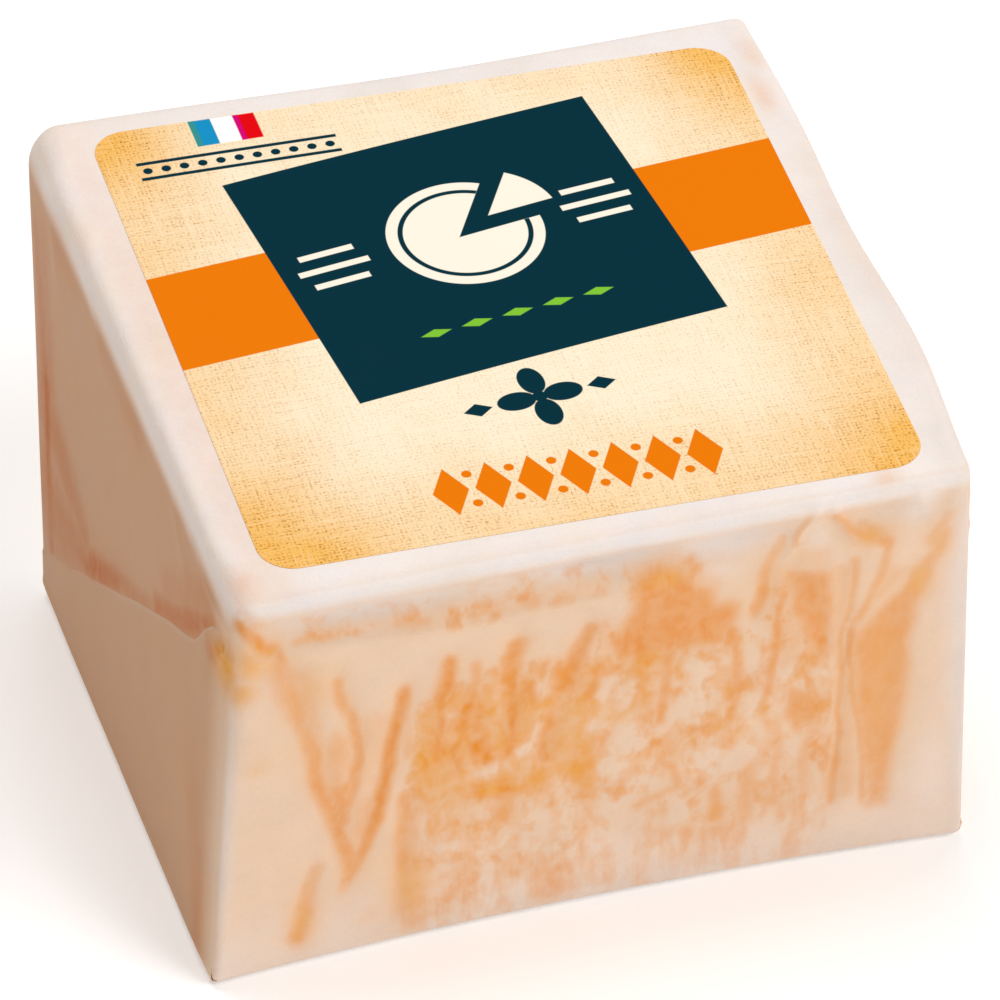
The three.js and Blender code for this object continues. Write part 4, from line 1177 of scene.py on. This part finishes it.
def label_tree():
    """Lays a round-cornered sheet over a surface, gives it its thickness and its own UV map."""
    tree = bpy.data.node_groups.new("Label laid over a surface", "GeometryNodeTree")
    add_sockets(tree, [
        ("Surface", "NodeSocketObject", None), ("Width", "NodeSocketFloat", 0.0548),
        ("Depth", "NodeSocketFloat", 0.057), ("Corner radius", "NodeSocketFloat", 0.0034),
        ("Turn", "NodeSocketFloat", 0.0), ("Centre", "NodeSocketVector", None),
        ("Gap", "NodeSocketFloat", 0.0001), ("Thickness", "NodeSocketFloat", 0.00015),
        ("Columns", "NodeSocketInt", 90), ("Rows", "NodeSocketInt", 110),
        ("Material", "NodeSocketMaterial", None),
    ], [("Geometry", "NodeSocketGeometry")])
    g = Graph(tree)
    given = g.node("NodeGroupInput").outputs
    size = {"Size X": 2.0, "Size Y": 2.0, "Vertices X": given["Columns"], "Vertices Y": given["Rows"]}
    grid = g.node("GeometryNodeMeshGrid", {}, size).outputs[0]

    # rows close together near both ends, drawn in there as the corners are round
    x, y, _ = g.parts(g.node("GeometryNodeInputPosition").outputs[0])
    half_x, half_y = (g.over(given[name], 2.0) for name in ("Width", "Depth"))
    y = g.times(g.math("SINE", g.times(y, math.pi / 2)), half_y)
    radius = given["Corner radius"]
    past = g.larger(g.minus(g.unsigned(y), g.minus(half_y, radius)), 0.0)
    square = g.minus(g.times(radius, radius), g.times(past, past))
    inset = g.minus(radius, g.math("SQRT", g.larger(square, 0.0)))
    x = g.times(x, g.minus(half_x, inset))
    flat = g.node("GeometryNodeSetPosition", {}, {"Geometry": grid, "Position": g.joined(x, y)}).outputs[0]
    own = g.node("GeometryNodeInputPosition").outputs[0]
    whole_size = g.joined(given["Width"], given["Depth"], 1.0)
    uv = g.vector("ADD", g.vector("DIVIDE", own, whole_size), (0.5, 0.5, 0.0))
    stored = g.node("GeometryNodeStoreNamedAttribute", {"data_type": "FLOAT2", "domain": "CORNER"},
                    {"Geometry": flat, "Name": "label_uv", "Value": uv}).outputs[0]

    # each point falls onto the surface from above
    spun = g.turned(own, given["Turn"])
    above = g.vector("ADD", g.vector("ADD", spun, given["Centre"]), (0.0, 0.0, 0.1))
    target = g.node("GeometryNodeObjectInfo", {"transform_space": "ORIGINAL"}, {"Object": given["Surface"]})
    ray = g.node("GeometryNodeRaycast", {"data_type": "FLOAT"}, {
        "Target Geometry": target.outputs["Geometry"], "Source Position": above,
        "Ray Direction": (0.0, 0.0, -1.0), "Ray Length": 1.0,
    })
    laid = g.vector("ADD", ray.outputs["Hit Position"], g.joined(0.0, 0.0, given["Gap"]))
    sheet = g.node("GeometryNodeSetPosition", {}, {"Geometry": stored, "Position": laid}).outputs[0]

    # a copy lifted by the thickness, its sides, and the sheet turned over as the underside
    up = g.joined(0.0, 0.0, given["Thickness"])
    raised = g.node("GeometryNodeExtrudeMesh", {"mode": "FACES"},
                    {"Mesh": sheet, "Offset": up, "Offset Scale": 1.0, "Individual": False})
    under = g.node("GeometryNodeFlipFaces", {}, {"Mesh": sheet}).outputs[0]
    both = g.node("GeometryNodeJoinGeometry")
    g.wire(raised.outputs[0], both.inputs[0])
    g.wire(under, both.inputs[0])
    whole = g.node("GeometryNodeMergeByDistance", {}, {"Geometry": both.outputs[0], "Distance": 0.000001})
    smooth = g.node("GeometryNodeSetShadeSmooth", {}, {"Geometry": whole.outputs[0]})
    real = g.node("GeometryNodeRealizeInstances", {}, {"Geometry": smooth.outputs[0]})
    made = g.node("GeometryNodeSetMaterial", {}, {"Geometry": real.outputs[0], "Material": given["Material"]})
    g.wire(made.outputs[0], g.node("NodeGroupOutput").inputs["Geometry"])
    g.arrange()
    return tree


def grown(name, tree, inputs, sharp):
    """A plain mesh object made by a geometry node tree with these inputs."""
    start = in_scene(name + "_start", bpy.data.meshes.new(name + "_start"))
    modifier = start.modifiers.new("Grow", "NODES")
    modifier.node_group = tree
    for socket in tree.interface.items_tree:
        if socket.item_type == "SOCKET" and socket.in_out == "INPUT" and socket.name in inputs:
            modifier[socket.identifier] = inputs[socket.name]
    start.update_tag()
    bpy.context.view_layer.update()
    evaluated = start.evaluated_get(bpy.context.evaluated_depsgraph_get())
    mesh = bpy.data.meshes.new_from_object(evaluated)
    bpy.data.objects.remove(start)
    mesh.name = name
    mesh.set_sharp_from_angle(angle=math.radians(sharp))
    return in_scene(name, mesh)


# Settings


def size_setting(name, description, millimetres):
    return FloatProperty(name=name, description=description, default=millimetres * MM, min=0.0,
                         unit="LENGTH", precision=5)


def share_setting(name, description, default):
    return FloatProperty(name=name, description=description, default=default, min=0.0, max=1.0,
                         subtype="FACTOR")


def light_setting(name, description, default, unit="NONE"):
    return FloatProperty(name=name, description=description, default=default, min=0.0, unit=unit)


def count_setting(name, description, default):
    return IntProperty(name=name, description=description, default=default, min=8, max=400)


def colour_setting(name, description, red, green, blue):
    """A colour setting, from the usual 0 to 255 of a screen."""
    def linear(value):
        value /= 255
        return value / 12.92 if value <= 0.04045 else ((value + 0.055) / 1.055) ** 2.4
    return FloatVectorProperty(name=name, description=description, subtype="COLOR", size=3, min=0.0,
                               max=1.0, default=tuple(linear(v) for v in (red, green, blue)))


class WrapperSettings(PropertyGroup):
    pleat_depth: size_setting("Pleat depth", "How deep the paper clings into the rind's pleats", 0.16)
    lap_lift: size_setting("Lap lift", "How far the laps over the ends stand off the paper below", 0.22)
    paper_thickness: size_setting("Paper thickness", "Thickness of the folded laps and seam", 0.12)
    paper_roughness: share_setting("Paper roughness", "Roughness of the waxed paper", 0.42)
    rind_strength: share_setting("Rind strength", "How strongly the rind shows through", 0.96)
    paper_colour: colour_setting("Paper", "Waxed paper close over the cheese", 234, 203, 176)
    # this colour also serves as painted highlight on the rounded edges
    lifted_paper_and_highlight_colour: colour_setting("Lifted paper", "Paper that stands off the cheese", 242, 233, 228)
    # this colour is painted shade, in the hollow under the top edge, by folds and along the edges
    shaded_paper_colour: colour_setting("Shaded paper", "Paper that lies double or in a dip", 216, 198, 186)
    # this colour is partly painted shade: darker than the front's paper, as the ends lie in shade
    end_paper_and_shade_colour: colour_setting("End paper", "Layered paper over the two ends", 204, 157, 120)
    rind_colour: colour_setting("Ripe rind", "Orange rind pressed against the paper", 231, 135, 22)
    golden_rind_colour: colour_setting("Golden rind", "Yellower rind against the paper", 235, 158, 14)
    # this colour is partly painted shade: darker than the front's rind, as the ends lie in shade
    end_rind_and_shade_colour: colour_setting("End rind", "Rind showing through at the two ends", 190, 100, 0)


class LabelSettings(PropertyGroup):
    width: size_setting("Width", "Width of the label", 54.8)
    depth: size_setting("Depth", "Depth of the label from front to back", 56.4)
    corner_radius: size_setting("Corner radius", "Radius of the label's corners", 3.0)
    gap: size_setting("Gap", "How far the label's underside is off the paper", 0.01)
    thickness: size_setting("Thickness", "Thickness of the label", 0.05)
    thread_pitch: size_setting("Thread pitch", "Distance between the printed linen's threads", 0.34)
    turn: FloatProperty(name="Turn", description="How far the label is turned on the top", unit="ROTATION",
                        default=math.radians(-0.8))
    columns: count_setting("Columns", "Points across the label", 90)
    rows: count_setting("Rows", "Points from the label's front to its back", 110)
    roughness: share_setting("Roughness", "Roughness of the printed paper", 0.5)
    linen_colour: colour_setting("Linen", "Middle of the printed linen ground", 254, 238, 208)
    linen_edge_colour: colour_setting("Linen edge", "Printed linen towards the edges", 248, 190, 98)
    linen_thread_colour: colour_setting("Linen thread", "Dark threads of the linen", 190, 122, 46)
    band_colour: colour_setting("Band", "Slanting band behind the panel", 237, 122, 0)
    panel_colour: colour_setting("Panel", "Dark square panel and the dark ink", 0, 48, 60)
    cream_ink_colour: colour_setting("Cream ink", "Figures in the panel", 252, 243, 224)
    leaf_colour: colour_setting("Leaf ink", "Small leaves in the panel", 128, 196, 52)
    blue_colour: colour_setting("Blue field", "First small field of colour", 20, 144, 196)
    teal_colour: colour_setting("Teal edge", "Edge of the first field", 56, 146, 140)
    red_colour: colour_setting("Red field", "Third small field of colour", 228, 0, 12)
    magenta_colour: colour_setting("Magenta edge", "Edge of the third field", 214, 0, 120)


class StageSettings(PropertyGroup):
    floor_size: size_setting("Floor size", "Side of the floor", 3000.0)
    floor_colour: colour_setting("Floor", "Colour of the floor", 251, 250, 249)
    floor_glow: light_setting("Floor glow", "Light from under the floor, as on a light table", 0.2)
    key_power: light_setting("Key light", "The large light from the front right", 12.6, "POWER")
    top_power: light_setting("Top light", "The light from above and behind", 9.8, "POWER")
    sky_strength: light_setting("Sky", "The even light from all round", 0.33)


# Operators


def dressed(piece, *nodes):
    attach(piece, "root")
    if nodes:
        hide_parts(*nodes)
    return piece


class WrappedBlockAdd(Operator):
    """Add the block with the inner layer of its waxed paper"""

    bl_idname = "mesh.wrapped_block_add"
    bl_label = "Wrapped block"

    def execute(self, context):
        settings = context.scene.cheese_wrapper
        across, deep = edge_lines(STEPS_ACROSS, WIDTH), edge_lines(STEPS_DEEP, DEPTH)
        high = edge_lines(STEPS_HIGH, HEIGHT, 0.1)
        u, v, w, faces = cube_skin(across, deep, high)
        points = skin(u, v, w, deep=settings.pleat_depth / MM, fine=True)
        masks = paint_masks(u, v, w, points)
        block = mesh_object("wrapped_block", points, faces, waxed_paper(settings), masks)
        dressed(block, "wrapper")
        return {"FINISHED"}


class EndLapsAdd(Operator):
    """Add the laps of paper folded over the two ends and under the block"""

    bl_idname = "mesh.end_laps_add"
    bl_label = "End laps"

    def execute(self, context):
        settings = context.scene.cheese_wrapper
        sizes = (settings.lap_lift / MM, settings.paper_thickness / MM, settings.pleat_depth / MM)
        for name, end in (("left_lap", 0), ("right_lap", 1)):
            points, faces, masks = end_lap(end, *sizes)
            lap = mesh_object(name, points, faces, waxed_paper(settings), masks, sharp=SHEET_SHARP)
            dressed(lap)
        return {"FINISHED"}


class UnderSeamAdd(Operator):
    """Add the long seam of the paper under the block"""

    bl_idname = "mesh.under_seam_add"
    bl_label = "Under seam"

    def execute(self, context):
        settings = context.scene.cheese_wrapper
        # the seam's length and width, as shares of the block
        across, deep = np.linspace(0.25, 0.75, 60), np.linspace(0.4, 0.6, 14)
        v, u = np.meshgrid(deep, across, indexing="ij")
        thickness = settings.paper_thickness / MM
        outer = skin(u, v, np.zeros(u.shape), UNDER_FOLD)
        inner = skin(u, v, np.zeros(u.shape), UNDER_FOLD - thickness)
        points, faces = paper_sheet(outer[::-1], inner[::-1])
        masks = {"end_tone_and_shade": np.zeros(len(points)), "lifted": np.ones(len(points))}
        seam = mesh_object("under_seam", points, faces, waxed_paper(settings), masks, sharp=SHEET_SHARP)
        dressed(seam)
        return {"FINISHED"}


class CheeseLabelAdd(Operator):
    """Add the printed label on the block's top"""

    bl_idname = "mesh.cheese_label_add"
    bl_label = "Label"

    def execute(self, context):
        settings = context.scene.cheese_label
        block = bpy.data.objects.get("wrapped_block")
        if block is None:
            raise RuntimeError("the label lies on the wrapped block, which is made first")
        centre = (LABEL_CENTRE + CENTRING) * MM
        label = grown("printed_label", label_tree(), {
            "Surface": block, "Width": settings.width, "Depth": settings.depth,
            "Corner radius": settings.corner_radius, "Turn": settings.turn, "Centre": tuple(centre),
            "Gap": settings.gap, "Thickness": settings.thickness, "Columns": settings.columns,
            "Rows": settings.rows, "Material": printed_label_paper(settings),
        }, sharp=SHEET_SHARP)
        dressed(label, "label")
        return {"FINISHED"}


class CheeseStageAdd(Operator):
    """Add the floor, the soft lights and the camera"""

    bl_idname = "scene.cheese_stage_add"
    bl_label = "Stage"

    def execute(self, context):
        scene, settings = context.scene, context.scene.cheese_stage
        self.add_floor(settings)
        self.add_world(scene, settings)
        self.add_light("key", (0.75, -0.95, 1.10), 0.8, settings.key_power)
        self.add_light("top", (-0.08, 0.46, 1.39), 0.9, settings.top_power)
        self.add_camera(scene)
        scene.view_settings.view_transform = "Standard"
        return {"FINISHED"}

    def add_floor(self, settings):
        material, fresh = new_material("Pale studio floor")
        if fresh:
            g = Graph(material.node_tree)
            tone = g.noise(g.node("ShaderNodeTexCoord").outputs["Object"], 30.0, 3.0)
            base = tuple(settings.floor_colour)
            pale = g.mix(g.times(tone, 0.03), base, (0.8, 0.8, 0.8))
            shade(g, pale, g.times_plus(tone, 0.1, 0.75), tone, (0.02, 0.0001),
                  Emission_Color=base, Emission_Strength=settings.floor_glow)
        half = settings.floor_size / 2
        mesh = bpy.data.meshes.new("floor")
        corners = [(-half, -half, 0), (half, -half, 0), (half, half, 0), (-half, half, 0)]
        mesh.from_pydata(corners, [], [(0, 1, 2, 3)])
        mesh.materials.append(material)
        floor = in_scene("floor", mesh)

    def add_world(self, scene, settings):
        world = bpy.data.worlds.new("Studio")
        world.use_nodes = True
        background = world.node_tree.nodes["Background"]
        background.inputs["Color"].default_value = (1.0, 1.0, 1.0, 1.0)
        background.inputs["Strength"].default_value = settings.sky_strength
        scene.world = world

    def add_light(self, name, place, size, power):
        """A square soft light, aimed at the middle of the block."""
        light = bpy.data.lights.new(name, "AREA")
        light.shape, light.size, light.energy = "SQUARE", size, power
        made = in_scene(name, light)
        made.location = place
        aim = Vector((0, 0, 0.02)) - Vector(place)
        made.rotation_euler = aim.to_track_quat("-Z", "Y").to_euler()

    def add_camera(self, scene):
        """The camera as fitted to the photo, by its angles, the point it looks at and its distance."""
        azimuth, elevation, roll = (math.radians(a) for a in (-16.5, 34.0, -0.80))
        target, distance = Vector((0.001149, -0.000086, 0.0203)), 0.8
        back = Vector((math.sin(azimuth) * math.cos(elevation), -math.cos(azimuth) * math.cos(elevation),
                       math.sin(elevation)))
        right = Vector((0, 0, 1)).cross(back).normalized()
        up = back.cross(right)
        side = right * math.cos(roll) + up * math.sin(roll)
        top = up * math.cos(roll) - right * math.sin(roll)
        lens = bpy.data.cameras.new("camera")
        lens.lens, lens.sensor_width, lens.clip_start, lens.clip_end = 349.6, 36.0, 0.01, 20.0
        camera = in_scene("camera", lens)
        turn = Matrix((side, top, back)).transposed()
        camera.matrix_world = Matrix.Translation(target + back * distance) @ turn.to_4x4()
        scene.camera = camera


class SoftCheesePanel(Panel):
    """Lists the parts of the soft cheese and their settings"""

    bl_idname = "VIEW3D_PT_soft_cheese"
    bl_label = "Soft cheese"
    bl_space_type = "VIEW_3D"
    bl_region_type = "UI"
    bl_category = "Soft cheese"

    def draw(self, context):
        parts = (
            (context.scene.cheese_wrapper, (WrappedBlockAdd, EndLapsAdd, UnderSeamAdd)),
            (context.scene.cheese_label, (CheeseLabelAdd,)),
            (context.scene.cheese_stage, (CheeseStageAdd,)),
        )
        for settings, operators in parts:
            box = self.layout.box()
            for name in settings.bl_rna.properties.keys():
                if name not in ("rna_type", "name"):
                    box.prop(settings, name)
            for operator in operators:
                box.operator(operator.bl_idname)


SETTINGS = {"cheese_wrapper": WrapperSettings, "cheese_label": LabelSettings, "cheese_stage": StageSettings}
OPERATORS = (WrappedBlockAdd, EndLapsAdd, UnderSeamAdd, CheeseLabelAdd, CheeseStageAdd)


def register():
    for group in SETTINGS.values():
        bpy.utils.register_class(group)
    for operator in OPERATORS:
        bpy.utils.register_class(operator)
    bpy.utils.register_class(SoftCheesePanel)
    for name, group in SETTINGS.items():
        setattr(bpy.types.Scene, name, PointerProperty(type=group))


def unregister():
    for name in SETTINGS:
        delattr(bpy.types.Scene, name)
    bpy.utils.unregister_class(SoftCheesePanel)
    for made in (*OPERATORS, *SETTINGS.values()):
        bpy.utils.unregister_class(made)


def main():
    """Builds everything in order."""
    register()
    bpy.ops.mesh.wrapped_block_add()
    bpy.ops.mesh.end_laps_add()
    bpy.ops.mesh.under_seam_add()
    bpy.ops.mesh.cheese_label_add()
    bpy.ops.scene.cheese_stage_add()


if __name__ == "__main__":
    main()
